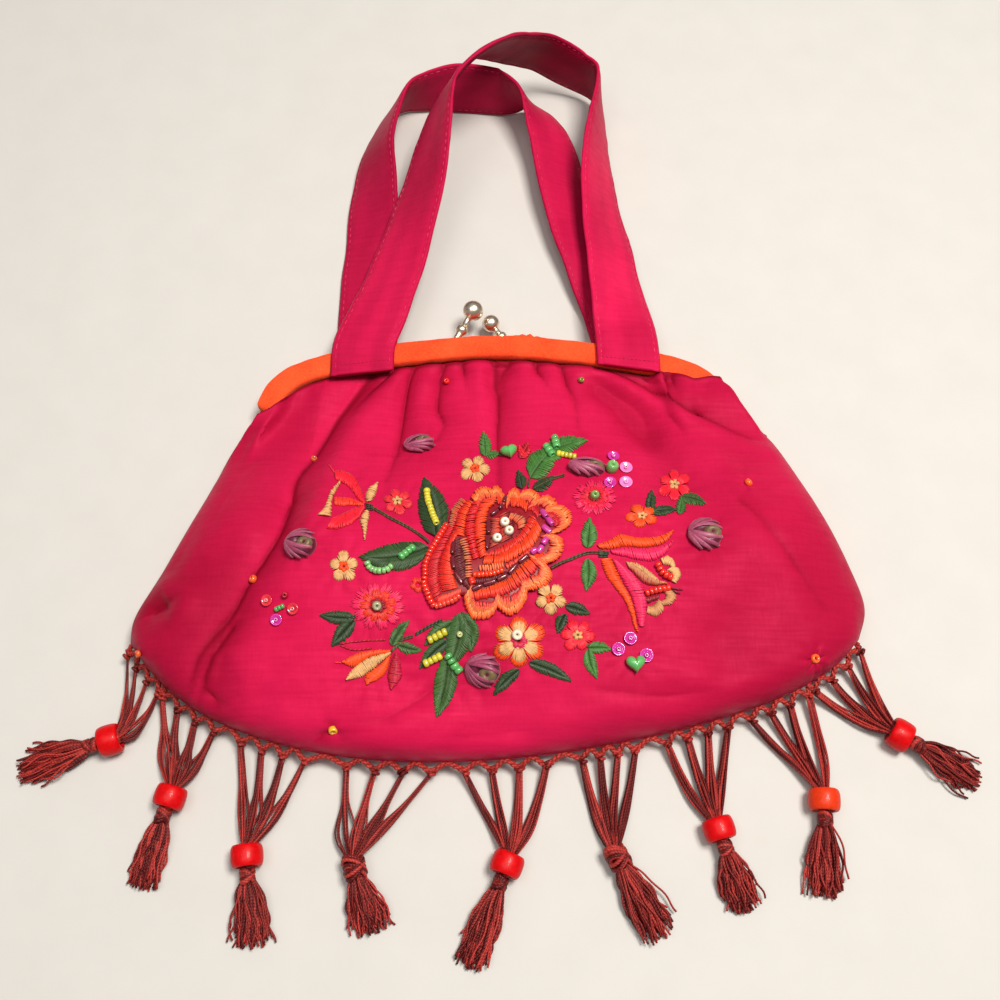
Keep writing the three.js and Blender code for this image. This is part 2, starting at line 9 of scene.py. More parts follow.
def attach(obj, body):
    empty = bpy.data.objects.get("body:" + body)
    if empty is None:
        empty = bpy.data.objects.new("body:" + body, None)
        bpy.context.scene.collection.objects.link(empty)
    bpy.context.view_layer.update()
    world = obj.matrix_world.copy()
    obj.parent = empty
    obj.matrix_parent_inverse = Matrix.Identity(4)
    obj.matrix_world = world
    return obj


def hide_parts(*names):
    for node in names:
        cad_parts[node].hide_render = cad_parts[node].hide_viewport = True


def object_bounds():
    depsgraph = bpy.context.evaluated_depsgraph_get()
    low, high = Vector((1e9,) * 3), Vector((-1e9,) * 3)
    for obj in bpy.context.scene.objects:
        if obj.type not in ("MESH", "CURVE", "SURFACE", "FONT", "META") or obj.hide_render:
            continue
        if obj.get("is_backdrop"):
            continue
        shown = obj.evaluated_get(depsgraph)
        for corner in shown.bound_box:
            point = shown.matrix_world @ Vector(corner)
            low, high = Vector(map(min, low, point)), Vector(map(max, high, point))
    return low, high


# A beaded evening bag that lies on its back. Shapes are worked out in millimetres in the frame of
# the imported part: +X right, +Y from the fringe to the handles, +Z up, origin on the floor.

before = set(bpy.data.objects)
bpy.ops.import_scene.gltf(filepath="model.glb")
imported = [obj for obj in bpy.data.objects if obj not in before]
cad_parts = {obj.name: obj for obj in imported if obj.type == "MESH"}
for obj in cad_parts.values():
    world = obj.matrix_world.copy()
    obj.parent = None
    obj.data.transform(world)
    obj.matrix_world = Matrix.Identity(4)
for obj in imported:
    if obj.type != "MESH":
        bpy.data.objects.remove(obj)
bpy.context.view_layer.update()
MM = 0.001
RNG = np.random.default_rng(11)

# Camera: elevation over the floor, focal length in pixels of the square picture, and distance
IMAGE = 1000
FOCAL = 1100
DISTANCE = 359
ELEVATION = math.radians(66)
RIGHT = np.array([1.0, 0.0, 0.0])
FORWARD = np.array([0.0, math.cos(ELEVATION), -math.sin(ELEVATION)])
UPWARD = np.array([0.0, math.sin(ELEVATION), math.cos(ELEVATION)])
EYE = -DISTANCE * FORWARD

camera = bpy.data.objects.new("camera", bpy.data.cameras.new("camera"))
bpy.context.scene.collection.objects.link(camera)
camera.data.lens = camera.data.sensor_width * FOCAL / IMAGE
camera.data.clip_start = 0.01
camera.data.clip_end = 20
facing = Matrix((RIGHT, UPWARD, -FORWARD)).transposed().to_4x4()
camera.matrix_world = Matrix.Translation(Vector(EYE * MM)) @ facing
bpy.context.scene.camera = camera


def sight(u, v):
    """Direction of the ray through a point of the picture."""
    direction = FORWARD * FOCAL + RIGHT * (u - IMAGE / 2) + UPWARD * (IMAGE / 2 - v)
    return direction / np.linalg.norm(direction)


# Numbers and curves


def smooth(f):
    """A soft step from nought to one."""
    f = np.clip(f, 0, 1)
    return f * f * (3 - 2 * f)


def lerp(a, b, f):
    return a + (b - a) * f


def unit(v):
    return v / np.maximum(np.linalg.norm(v, axis=-1, keepdims=True), 1e-9)


def linear(r, g, b):
    """Linear colour of a colour given in 0 to 255."""
    c = np.array([r, g, b]) / 255
    return np.where(c < 0.04045, c / 12.92, ((c + 0.055) / 1.055) ** 2.4)


def spline(points, per=24):
    """Points along a centripetal Catmull-Rom curve, evenly in the rows of the table."""
    p = np.asarray(points, float)
    p = np.vstack([2 * p[0] - p[1], p, 2 * p[-1] - p[-2]])
    out = []
    t = np.linspace(0, 1, per, endpoint=False)[:, None]
    for i in range(1, len(p) - 2):
        p0, p1, p2, p3 = p[i - 1 : i + 3]
        d0, d1, d2 = (max(np.linalg.norm(b - a) ** 0.5, 1e-4) for a, b in ((p0, p1), (p1, p2), (p2, p3)))
        m1 = ((p1 - p0) / d0 - (p2 - p0) / (d0 + d1) + (p2 - p1) / d1) * d1
        m2 = ((p2 - p1) / d1 - (p3 - p1) / (d1 + d2) + (p3 - p2) / d2) * d1
        out.append(p1 + m1 * t + (3 * (p2 - p1) - 2 * m1 - m2) * t**2 + (2 * (p1 - p2) + m1 + m2) * t**3)
    return np.vstack([*out, p[-2:-1]])


class Path:
    """A line that is read by shares of its length."""

    def __init__(self, points):
        self.points = np.asarray(points, float)
        runs = np.linalg.norm(np.diff(self.points, axis=0), axis=1)
        self.along = np.concatenate([[0], np.cumsum(runs)])
        self.length = self.along[-1]

    def at(self, f):
        d = np.asarray(f, float) * self.length
        return np.stack([np.interp(d, self.along, column) for column in self.points.T], -1)

    def tangent(self, f, step=0.004):
        f = np.asarray(f)
        return unit(self.at(np.clip(f + step, 0, 1)) - self.at(np.clip(f - step, 0, 1)))


def ripple(p, size, seed):
    """Smooth noise of about that feature size, from minus one to one."""
    rng = np.random.default_rng(seed)
    total = 0
    for _ in range(7):
        wave = rng.normal(size=p.shape[-1])
        wave *= rng.uniform(0.7, 1.4) * math.pi / size / np.linalg.norm(wave)
        total = total + np.sin(p @ wave + rng.uniform(0, 2 * math.pi))
    return total / 4


# Meshes


class Build:
    """Collects vertices, faces, colours and thread directions, and makes one object of them."""

    def __init__(self):
        self.vertices, self.faces, self.tints, self.turns, self.count = [], [], [], [], 0

    def add(self, vertices, faces, tint=(1, 1, 1), turn=None):
        vertices = np.asarray(vertices, float).reshape(-1, 3)
        for f in faces:
            f = np.asarray(f, int)
            if len(f):
                self.faces.append(f + self.count)
        self.vertices.append(vertices)
        self.tints.append(np.broadcast_to(np.asarray(tint, float), vertices.shape))
        turn = np.zeros_like(vertices) if turn is None else np.asarray(turn, float).reshape(-1, 3)
        self.turns.append(turn)
        self.count += len(vertices)

    def make(self, name, material, slot, node=None):
        vertices = np.vstack(self.vertices) * MM
        mesh = bpy.data.meshes.new(name)
        mesh.vertices.add(len(vertices))
        mesh.vertices.foreach_set("co", vertices.astype(np.float32).ravel())
        sizes = np.concatenate([np.full(len(f), f.shape[1]) for f in self.faces])
        loops = np.concatenate([f.ravel() for f in self.faces])
        mesh.loops.add(len(loops))
        mesh.loops.foreach_set("vertex_index", loops.astype(np.int32))
        mesh.polygons.add(len(sizes))
        starts = np.concatenate([[0], np.cumsum(sizes)[:-1]])
        mesh.polygons.foreach_set("loop_start", starts.astype(np.int32))
        mesh.polygons.foreach_set("loop_total", sizes.astype(np.int32))
        mesh.polygons.foreach_set("use_smooth", np.full(len(sizes), True))
        tints = np.hstack([np.vstack(self.tints), np.ones((len(vertices), 1))])
        layer = mesh.color_attributes.new("tint", "FLOAT_COLOR", "POINT")
        layer.data.foreach_set("color", tints.astype(np.float32).ravel())
        turns = mesh.attributes.new("turn", "FLOAT_VECTOR", "POINT")
        turns.data.foreach_set("vector", np.vstack(self.turns).astype(np.float32).ravel())
        mesh.update(calc_edges=True)
        mesh.validate()
        mesh.materials.append(material)
        piece = bpy.data.objects.new(name, mesh)
        bpy.context.scene.collection.objects.link(piece)
        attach(piece, "root")
        for n in [node] if isinstance(node, str) else node or []:
            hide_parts(n)
        return piece


def grid_faces(rows, columns, wrap=False):
    """Quads over a grid of rows by columns, closed across the columns if wrap is true."""
    r = np.arange(rows - 1)[:, None] * columns
    c = np.arange(columns if wrap else columns - 1)
    n = (c + 1) % columns
    return np.stack([r + c, r + n, r + columns + n, r + columns + c], -1).reshape(-1, 4)


def tube_faces(rows, columns, count=1, flip=True):
    """Quads and end caps of closed tubes whose points follow one another tube by tube."""
    shift = (np.arange(count) * rows * columns)[:, None]
    quads = (grid_faces(rows, columns, True)[None] + shift[:, :, None]).reshape(-1, 4)
    around = np.arange(columns)
    caps = np.concatenate([around[::-1] + shift, around + (rows - 1) * columns + shift])
    return [quads[:, ::-1], caps[:, ::-1]] if flip else [quads, caps]


def winding(shape, angles, along):
    """Place round a thread and along it, which the thread materials twist their plies by."""
    turn = np.empty(shape)
    turn[..., 0] = np.cos(angles)
    turn[..., 1] = np.sin(angles)
    turn[..., 2] = along
    return turn


def carried(lines):
    """Side and lift directions along many lines at once, carried along without twist."""
    ahead = unit(np.gradient(lines, axis=1))
    start = np.where(np.abs(ahead[:, :1, 2:]) < 0.9, [0.0, 0.0, 1.0], [1.0, 0.0, 0.0])
    side = np.empty_like(lines)
    side[:, 0] = unit(np.cross(ahead[:, 0], start[:, 0]))
    for i in range(1, lines.shape[1]):
        s = side[:, i - 1]
        side[:, i] = unit(s - ahead[:, i] * np.sum(s * ahead[:, i], -1, keepdims=True))
    return side, np.cross(side, ahead)


def tubes(build, lines, radii, sides, tint):
    """Closed round threads along many lines with equal numbers of points, with a colour for each."""
    lines = np.asarray(lines, float)
    k, n = lines.shape[:2]
    radii = np.broadcast_to(np.asarray(radii, float), (k, n))
    side, lift = carried(lines)
    a = np.arange(sides) * 2 * math.pi / sides
    ring = side[:, :, None] * np.cos(a)[:, None] + lift[:, :, None] * np.sin(a)[:, None]
    vertices = lines[:, :, None] + ring * radii[:, :, None, None]
    runs = np.linalg.norm(np.diff(lines, axis=1), axis=2)
    along = np.concatenate([np.zeros((k, 1)), np.cumsum(runs, 1)], 1)
    tint = np.repeat(tint, n * sides, axis=0)
    build.add(vertices, tube_faces(n, sides, k), tint, winding(vertices.shape, a, along[:, :, None]))


def lathe(profile, around):
    """Vertices and faces of a closed ring or solid turned about Z from (radius, height) rows."""
    profile = np.asarray(profile, float)
    a = np.arange(around) * 2 * math.pi / around
    ring = np.stack([np.cos(a), np.sin(a), np.zeros(around)], -1)
    vertices = profile[:, None, :1] * ring + profile[:, None, 1:] * np.array([0, 0, 1.0])
    closed = np.vstack([vertices, vertices[:1]])
    faces = grid_faces(len(closed), around, True) % (len(profile) * around)
    return vertices.reshape(-1, 3), faces


def turned(axis):
    """Matrix whose third column is that axis."""
    w = unit(np.asarray(axis, float))
    u = unit(np.cross([0.0, 1.0, 0.0] if abs(w[1]) < 0.9 else [1.0, 0.0, 0.0], w))
    return np.stack([u, np.cross(w, u), w], -1)


# Materials


def nodes_of(name):
    material = bpy.data.materials.new(name)
    material.use_nodes = True
    tree = material.node_tree
    return material, tree, tree.nodes["Principled BSDF"]


def feed(tree, socket, value):
    """Links an input to an output, or sets it to a plain value."""
    if isinstance(value, bpy.types.NodeSocket):
        tree.links.new(value, socket)
    else:
        socket.default_value = value


def preset(tree, made, values):
    """Feeds the inputs of a node by their names."""
    for key, value in values.items():
        feed(tree, made.inputs[key], value)


def node(tree, kind, inputs=None, **settings):
    """A new node with its inputs and settings."""
    made = tree.nodes.new(kind)
    for key, value in settings.items():
        setattr(made, key, value)
    preset(tree, made, inputs or {})
    return made


def math_node(tree, operation, a, b=0.0):
    return node(tree, "ShaderNodeMath", {0: a, 1: b}, operation=operation).outputs[0]


def weighted(tree, a, share_a, b, share_b):
    """Sum of two values, each by its share."""
    a = math_node(tree, "MULTIPLY", a, share_a)
    return math_node(tree, "ADD", a, math_node(tree, "MULTIPLY", b, share_b))


def place_of(tree, scale=(1, 1, 1), turn=(0, 0, 0)):
    """Coordinates on the object, stretched and turned."""
    coords = node(tree, "ShaderNodeTexCoord").outputs["Object"]
    return node(tree, "ShaderNodeMapping", {"Vector": coords, "Scale": scale, "Rotation": turn}).outputs[0]


def noise_of(tree, place, scale, detail=3.0, roughness=0.55):
    inputs = {"Vector": place, "Scale": scale, "Detail": detail, "Roughness": roughness}
    return node(tree, "ShaderNodeTexNoise", inputs).outputs["Fac"]


def blend_of(tree, factor, a, b, kind="MIX"):
    inputs = {"Factor": factor, "A": a, "B": b}
    made = node(tree, "ShaderNodeMix", None, data_type="RGBA", blend_type=kind)
    for key, value in inputs.items():
        socket = next(s for s in made.inputs if s.name == key and (key == "Factor" or s.type == "RGBA"))
        feed(tree, socket, value)
    return next(s for s in made.outputs if s.type == "RGBA")


def ranged(tree, value, low, high, to_low=0.0, to_high=1.0):
    inputs = {"Value": value, "From Min": low, "From Max": high, "To Min": to_low, "To Max": to_high}
    return node(tree, "ShaderNodeMapRange", inputs).outputs["Result"]


def bumped(tree, shader, height, strength, distance):
    made = node(tree, "ShaderNodeBump", {"Height": height, "Strength": strength, "Distance": distance})
    tree.links.new(made.outputs["Normal"], shader.inputs["Normal"])


def rgba(colour):
    return (*[float(c) for c in colour], 1.0)


def silk_material(name, deep, bright, slub_turn, rough):
    """Silk with slubs along the weft, a fine weave, soft mottling and a sheen."""
    material, tree, shader = nodes_of(name)
    weft = noise_of(tree, place_of(tree, (70, 900, 300), slub_turn), 1.0, 3.0)
    warp = noise_of(tree, place_of(tree, (1500, 160, 1500), slub_turn), 1.0, 2.0)
    mottle = noise_of(tree, place_of(tree), 38.0, 4.0)
    threads = weighted(tree, weft, 0.65, warp, 0.35)
    shade = weighted(tree, threads, 0.5, mottle, 0.5)
    colour = blend_of(tree, ranged(tree, shade, 0.3, 0.7), rgba(deep), rgba(bright))
    # The mesh's tint multiplies the colour: on the front silk it carries painted shade, on the handles
    # painted shade, painted shadow and light besides random streaks.
    tint = node(tree, "ShaderNodeAttribute", None, attribute_name="tint").outputs["Color"]
    preset(tree, shader, {
        "Base Color": blend_of(tree, 1.0, colour, tint, "MULTIPLY"),
        "Roughness": ranged(tree, threads, 0.3, 0.7, rough + 0.08, rough - 0.06),
        "Sheen Weight": 0.06,
        "Sheen Roughness": 0.4,
        "Sheen Tint": rgba(linear(255, 60, 130)),
        "Specular IOR Level": 0.2,
        "Specular Tint": rgba(linear(255, 110, 150)),
    })
    bumped(tree, shader, threads, 0.32, 0.0002)
    return material


def felt_material():
    """Short-napped felt with pressed fibres, paler patches of nap and dark specks."""
    material, tree, shader = nodes_of("felt")
    nap = noise_of(tree, place_of(tree), 1400.0, 4.0, 0.7)
    patch = noise_of(tree, place_of(tree), 110.0, 4.0)
    speck = ranged(tree, noise_of(tree, place_of(tree), 420.0, 2.0), 0.70, 0.78)
    base = blend_of(tree, ranged(tree, patch, 0.3, 0.7), rgba(linear(232, 58, 22)),
                    rgba(linear(244, 78, 36)))
    base = blend_of(tree, ranged(tree, nap, 0.35, 0.7, 0.0, 0.35), base, rgba(linear(250, 108, 60)))
    base = blend_of(tree, math_node(tree, "MULTIPLY", speck, 0.55), base, rgba(linear(150, 40, 24)))
    preset(tree, shader, {
        "Base Color": base,
        "Roughness": 0.9,
        "Sheen Weight": 0.5,
        "Sheen Roughness": 0.5,
        "Sheen Tint": rgba(linear(255, 150, 110)),
        "Specular IOR Level": 0.15,
    })
    bumped(tree, shader, nap, 0.6, 0.0003)
    return material


def tinted_material(name, rough, variety, fibre, sheen=0.0, coat=0.0, twist=None, groove_painted_shade=1.0, metal=0.0,
                    specular=0.5):
    """Colour from the mesh, varied by noise; twist gives plied thread of that pitch in millimetres, with
    painted shade in the grooves between its plies.
    """
    material, tree, shader = nodes_of(name)
    tint = node(tree, "ShaderNodeAttribute", None, attribute_name="tint").outputs["Color"]
    mottle = noise_of(tree, place_of(tree), 900.0, 3.0)
    height = mottle
    shade = ranged(tree, mottle, 0.3, 0.7, 1 - variety, 1 + variety / 2)
    if twist:
        turn = node(tree, "ShaderNodeAttribute", None, attribute_name="turn").outputs["Vector"]
        parts = node(tree, "ShaderNodeSeparateXYZ", {0: turn}).outputs
        phase = math_node(tree, "MULTIPLY", parts[2], math.pi / twist)
        a = math_node(tree, "MULTIPLY", parts[1], math_node(tree, "COSINE", phase))
        b = math_node(tree, "MULTIPLY", parts[0], math_node(tree, "SINE", phase))
        ply = math_node(tree, "ABSOLUTE", math_node(tree, "ADD", a, b))
        height = math_node(tree, "ADD", ply, math_node(tree, "MULTIPLY", mottle, 0.3))
        # Painted shade in the grooves between plies, down to that brightness, and a little painted light on
        # their crowns.
        shade = math_node(tree, "MULTIPLY", shade, ranged(tree, ply, 0.0, 0.55, groove_painted_shade, 1.06))
    colour = node(tree, "ShaderNodeVectorMath", {0: tint, 1: shade}, operation="MULTIPLY").outputs[0]
    preset(tree, shader, {
        "Base Color": colour,
        "Roughness": ranged(tree, mottle, 0.3, 0.7, rough * 0.85, min(1.0, rough * 1.2)),
        "Metallic": metal,
        "Sheen Weight": sheen,
        "Sheen Roughness": 0.4,
        "Coat Weight": coat,
        "Coat Roughness": 0.06,
        "Specular IOR Level": specular,
    })
    bumped(tree, shader, height, fibre, 0.0003)
    return material


SILK = silk_material("silk", linear(180, 15, 60), linear(208, 28, 78), (0, 0, 0), 0.5)
RIBBON = silk_material("ribbon", linear(176, 15, 60), linear(204, 29, 77), (0, 0, 0.2), 0.5)
FELT = felt_material()

# Shared shape of the bag, with the numbers of the solids
CLOTH = 1.5
FLOOR_GAP = 0.02
SEAM_Z = 7.0
BELLY = 21
FRAME_BAND = 8
FRAME_THICK = 4.4
FRAME_BACK_Z = 4.5
FRAME_FRONT_Z = 9.2
MOUTH_CLEARANCE = 0.7
FRAME_SHIFT = -1.5
FRAME_LINE = [(0, 52.3), (26, 50.2), (46, 47), (58, 44.3), (66.8, 40.6), (72.4, 35), (75.2, 27.4)]
LEFT_SIDE = [(-84.8, 17), (-93.4, -5), (-103.2, -28), (-110.4, -43.5)]
RIGHT_SIDE = [(87.6, 17), (98, -5), (107.2, -27), (110.4, -40)]
LEFT_CORNER = (-110.8, -50.5)
RIGHT_CORNER = (107.8, -49)
BOTTOM = [
    (-102.5, -60), (-89, -70.4), (-66, -79.5), (-36, -84.6), (0, -84.4), (34, -79.8), (64, -72.8),
    (86, -65), (100.5, -56.4),
]

left_half = [(FRAME_SHIFT - x, y) for x, y in FRAME_LINE[:0:-1]]
frame_line = Path(spline(left_half + [(FRAME_SHIFT + x, y) for x, y in FRAME_LINE]))
bottom = Path(spline([LEFT_CORNER, *BOTTOM, RIGHT_CORNER]))


def frame_offset(f, outward):
    """Points beside the line of the frame."""
    t = frame_line.tangent(f)
    return frame_line.at(f) + np.stack([-t[..., 1], t[..., 0]], -1) * np.asarray(outward)[..., None]


def leg_tip(f, outward, clearance):
    """A point beyond the end of one leg of the frame."""
    ahead = frame_line.tangent(f) * (-clearance if f < 0.5 else clearance)
    return frame_offset(f, outward) + ahead


INNER = -(FRAME_BAND / 2 + MOUTH_CLEARANCE)


class Panel:
    """Plan of one silk panel: s runs across it from left to right, t down it from mouth to bottom."""

    def __init__(self, offset_at, corners):
        f = np.linspace(0, 1, 161)
        self.offset = offset_at(f)
        line = np.vstack([leg_tip(0.0, *corners[0]), frame_offset(f, self.offset),
                          leg_tip(1.0, *corners[1])])
        self.mouth = Path(line)
        self.mouth_offset = np.concatenate([[self.offset[0]], self.offset, [self.offset[-1]]])
        ends = (self.mouth.along[1], self.mouth.length - self.mouth.along[-2])
        self.legs = [max(end, 1.0) / self.mouth.length for end in ends]
        left, right = [line[0], *LEFT_SIDE, LEFT_CORNER], [line[-1], *RIGHT_SIDE, RIGHT_CORNER]
        self.sides = [Path(spline(left)), Path(spline(right))]

    def offset_of(self, s):
        """How far outward of the frame's line the mouth lies."""
        return np.interp(s * self.mouth.length, self.mouth.along, self.mouth_offset)

    def plan(self, s, t):
        spread = smooth(t / 0.2)
        point = lerp(self.mouth.at(s), bottom.at(s), t[..., None])
        for side, leg, far in zip(self.sides, self.legs, (s, 1 - s)):
            bow = side.at(t) - lerp(side.points[0], side.points[-1], t[..., None])
            share = lerp(np.maximum(0, 1 - far / leg), 1 - far, spread)
            point = point + bow * share[..., None]
        return point


def fullness(s, t):
    """Share of the belly's height over the plan, nought at the seam."""
    power = np.where(s < 0.5, 4.2, 5.2)
    return np.sqrt(np.maximum((1 - np.abs(2 * s - 1) ** power) * (1 - t**30), 0))


def normals_of(points):
    across = np.gradient(points, axis=1)
    down = np.gradient(points, axis=0)
    return unit(np.cross(down, across))


def shares(count, power):
    """Shares from nought to one that crowd towards both ends."""
    f = np.linspace(-1, 1, count)
    return 0.5 + 0.5 * np.sign(f) * (1 - (1 - np.abs(f)) ** power)


def eased(points, share, rounds):
    """Inner points of a grid drawn by a share towards the mean of their neighbours."""
    for _ in range(rounds):
        mean = points.copy()
        mean[1:-1, 1:-1] = (points[:-2, 1:-1] + points[2:, 1:-1] + points[1:-1, :-2] + points[1:-1, 2:]) / 4
        points = lerp(points, mean, share[..., None])
    return points


# Front panel: over the inner edge of the left leg, and right over the right leg


def front_offset(f):
    """How far outward of the frame's line the mouth of the front lies."""
    x = frame_line.at(f)[..., 0]
    left = lerp(-1.4, INNER, np.clip(f * frame_line.length / 6, 0, 1))
    right = lerp(INNER, -2.7, smooth((x - 50) / 8)) + 7.1 * smooth((x - 65) / 6)
    return np.where(x < 0, left, right)


front_plan = Panel(front_offset, [(1.4, 3.0), (FRAME_BAND / 2, MOUTH_CLEARANCE)])


def front_base(s, t):
    """The front before its folds."""
    plan = front_plan.plan(s, t)
    offset = front_plan.offset_of(s)
    over = np.where(s < 0.5, smooth((0.1 - s) / 0.05), smooth(offset - INNER))
    wrap = smooth((offset - 3.4) / 1.2) * (s > 0.5)
    mouth_z = FRAME_FRONT_Z + 3.0 * over - 4.5 * wrap * (1 - smooth(t / 0.03))
    inside = smooth(np.minimum(s, 1 - s) / 0.07)
    hold = over * np.where(s < 0.5, 0.1 * smooth(s / 0.06), 0.06 * inside)
    edge = lerp(mouth_z, SEAM_Z, smooth((t - hold) / lerp(np.where(s < 0.5, 0.12, 0.05), 0.2, inside)))
    belly = BELLY * fullness(s, t) * smooth(t / 0.68) * lerp(1, 0.6, smooth((t - 0.45) / 0.55))
    return np.concatenate([plan, (edge + belly)[..., None]], -1)


FRONT_ROWS = 170
FRONT_COLUMNS = 270
EASING_ROUNDS = 40
rows_t = lerp(np.linspace(0, 1, FRONT_ROWS) ** 1.05, shares(FRONT_ROWS, 1.7), 0.75)
columns_s = shares(FRONT_COLUMNS, 1.35)
grid_s, grid_t = np.meshgrid(columns_s, rows_t)
front = front_base(grid_s, grid_t)
left_tip = (1 - smooth((grid_s - 0.08) / 0.08)) * (1 - smooth((grid_t - 0.2) / 0.15))
front = eased(front, left_tip, EASING_ROUNDS)


def finder(points):
    """A function that finds where the ray through a picture point meets a grid of points."""
    rows, columns = points.shape[:2]
    tree = BVHTree.FromPolygons(points.reshape(-1, 3).tolist(), grid_faces(rows, columns).tolist())

    def find(u, v):
        hit, normal, _, _ = tree.ray_cast(Vector(EYE), Vector(sight(u, v)))
        if hit is None:
            return None, None
        normal = np.array(normal)
        return np.array(hit), normal if normal[2] > 0 else -normal

    return find


# Soft folds of the front: picture points from the top down, half width and rise in millimetres
FOLDS = [
    ([(396, 378), (378, 397), (358, 424), (344, 451), (330, 482), (314, 520), (292, 568), (264, 618),
      (238, 655)], 4.4, 1.6),
    ([(345, 385), (322, 412), (303, 440), (284, 475), (262, 520), (235, 570), (210, 612)], 7.0, 1.4),
    ([(428, 364), (421, 398), (416, 430)], 3.2, 1.0),
    ([(453, 361), (453, 392)], 2.8, 1.0),
    ([(480, 360), (481, 400), (480, 436)], 4.0, 1.3),
    ([(522, 360), (519, 395)], 3.6, 1.2),
    ([(549, 360), (552, 398)], 3.0, 1.1),
    ([(584, 362), (592, 390)], 3.6, 1.2),
    ([(600, 388), (620, 402), (644, 425), (660, 444), (684, 478)], 5.4, -3.8),
    ([(606, 372), (634, 390), (667, 408), (700, 424), (738, 442), (770, 453)], 3.6, 1.8),
    ([(162, 587), (187, 597), (181, 618), (150, 639)], 4.0, 1.5),
    ([(214, 660), (204, 686), (195, 712)], 1.7, 1.2),
    ([(640, 440), (700, 520), (742, 610)], 13, -2.0),
    ([(560, 430), (610, 470)], 9, 1.2),
    ([(330, 570), (310, 640), (300, 700)], 14, 1.6),
    ([(440, 690), (500, 715), (560, 705)], 10, -1.4),
    ([(220, 690), (262, 718), (300, 735)], 8, -1.4),
    ([(770, 520), (800, 590), (815, 640)], 8, 1.2),
    ([(720, 640), (742, 690)], 9, -1.1),
]
# Creases of the front, drawn the same way: reach of the wall on the near and on the far hand, and depth
CREASES = [
    ([(369, 376), (352, 398), (336, 417), (321, 437), (310, 453), (296, 473), (289, 496), (278, 527),
      (259, 559)], 8.0, 3.8, 5.4),
    ([(289, 496), (278, 527), (259, 559), (243, 586), (231, 609), (210, 636), (197, 657), (190, 680)],
     7.0, 4.2, 3.6),
    ([(229, 628), (214, 652), (205, 676), (199, 700)], 2.4, 3.4, 2.0),
    ([(388, 375), (372, 391), (356, 409)], 1.6, 1.9, 2.0),
    ([(415, 366), (410, 376), (405, 399), (402, 419), (398, 442), (392, 463), (386, 480)], 2.6, 3.4, 3.4),
    ([(443, 366), (440, 375), (439, 384), (437, 406), (442, 417), (443, 426), (437, 437)], 2.4, 3.6, 3.2),
    ([(462, 364), (464, 372), (465, 386)], 1.8, 2.4, 2.4),
    ([(494, 364), (494, 375), (494, 385), (497, 393), (497, 430), (498, 465), (498, 497)], 3.0, 4.6, 4.0),
    ([(507, 364), (503, 372), (498, 384)], 1.8, 2.4, 2.8),
    ([(536, 364), (536, 368), (541, 376), (546, 386)], 2.2, 3.2, 3.0),
    ([(559, 364), (562, 370), (566, 384), (573, 400), (577, 428)], 2.2, 3.6, 2.8),
    ([(604, 366), (614, 372), (643, 386), (666, 398), (687, 410), (705, 419), (732, 432), (750, 439)],
     2.2, 4.0, 2.8),
    ([(665, 374), (666, 386), (669, 401)], 1.5, 2.2, 2.4),
    ([(673, 377), (676, 387)], 1.4, 1.8, 1.6),
    ([(646, 379), (657, 383)], 1.4, 1.6, 1.2),
    ([(694, 411), (702, 418)], 1.3, 1.6, 1.2),
    ([(318, 381), (327, 391)], 1.2, 1.4, 1.2),
    ([(134, 622), (155, 612), (174, 601)], 3.4, 3.0, 2.6),
    ([(330, 732), (314, 740), (298, 747)], 1.6, 1.8, 2.2),
    ([(337, 736), (331, 753)], 1.6, 1.6, 2.0),
    ([(366, 735), (356, 760)], 1.8, 2.0, 1.6),
    ([(400, 742), (396, 764)], 1.8, 2.0, 1.6),
    ([(455, 738), (452, 765)], 2.0, 2.2, 1.5),
    ([(560, 724), (566, 760)], 2.0, 2.2, 1.0),
    ([(640, 730), (648, 757)], 1.8, 2.0, 1.6),
    ([(690, 704), (699, 738)], 1.8, 2.0, 1.6),
    ([(205, 692), (222, 716)], 2.0, 2.0, 1.1),
    ([(740, 500), (790, 560), (822, 610)], 2.6, 3.0, 0.9),
    ([(430, 690), (392, 716), (350, 722)], 2.6, 2.6, 0.9),
    ([(600, 690), (660, 696), (720, 690)], 2.4, 2.4, 0.7),
]
# Sewn motifs that draw the cloth into small rays round them: picture point and radius
MOTIFS = [
    (497, 552, 74), (378, 606, 26), (519, 642, 27), (594, 498, 22), (475, 469, 14), (344, 567, 14),
    (550, 599, 16), (397, 502, 14), (674, 485, 16), (641, 516, 15), (577, 635, 17), (345, 503, 26),
    (640, 572, 42), (705, 536, 15), (484, 670, 15), (302, 545, 14), (419, 446, 14), (448, 660, 34),
    (562, 455, 26), (372, 664, 26), (632, 655, 18),
]


def near_line(points, line):
    """Distance in plan from points to a line, the share along it, and the hand they lie on."""
    best = np.full(points.shape[:-1], 1e9)
    where = np.zeros(points.shape[:-1])
    hand = np.zeros(points.shape[:-1])
    for i in range(len(line) - 1):
        a, run = line[i], line[i + 1] - line[i]
        away = points - a
        f = np.clip((away @ run) / max(run @ run, 1e-9), 0, 1)
        d = np.linalg.norm(away - f[..., None] * run, axis=-1)
        where = np.where(d < best, (i + f) / (len(line) - 1), where)
        hand = np.where(d < best, np.sign(run[0] * away[..., 1] - run[1] * away[..., 0]), hand)
        best = np.minimum(d, best)
    return best, where, hand


def ridged(p, size, seed):
    """Noise with sharp ridges between rounded hollows."""
    return 0.55 - np.sqrt(ripple(p, size, seed) ** 2 + 0.02)


# Slope of the wide ripples, millimetres to a picture point, and the row above which a fold runs to the mouth
SLANT = np.array([[1.0, 0.25], [-0.35, 0.6]])
PIXEL = 0.33
TOP_ROW = 380
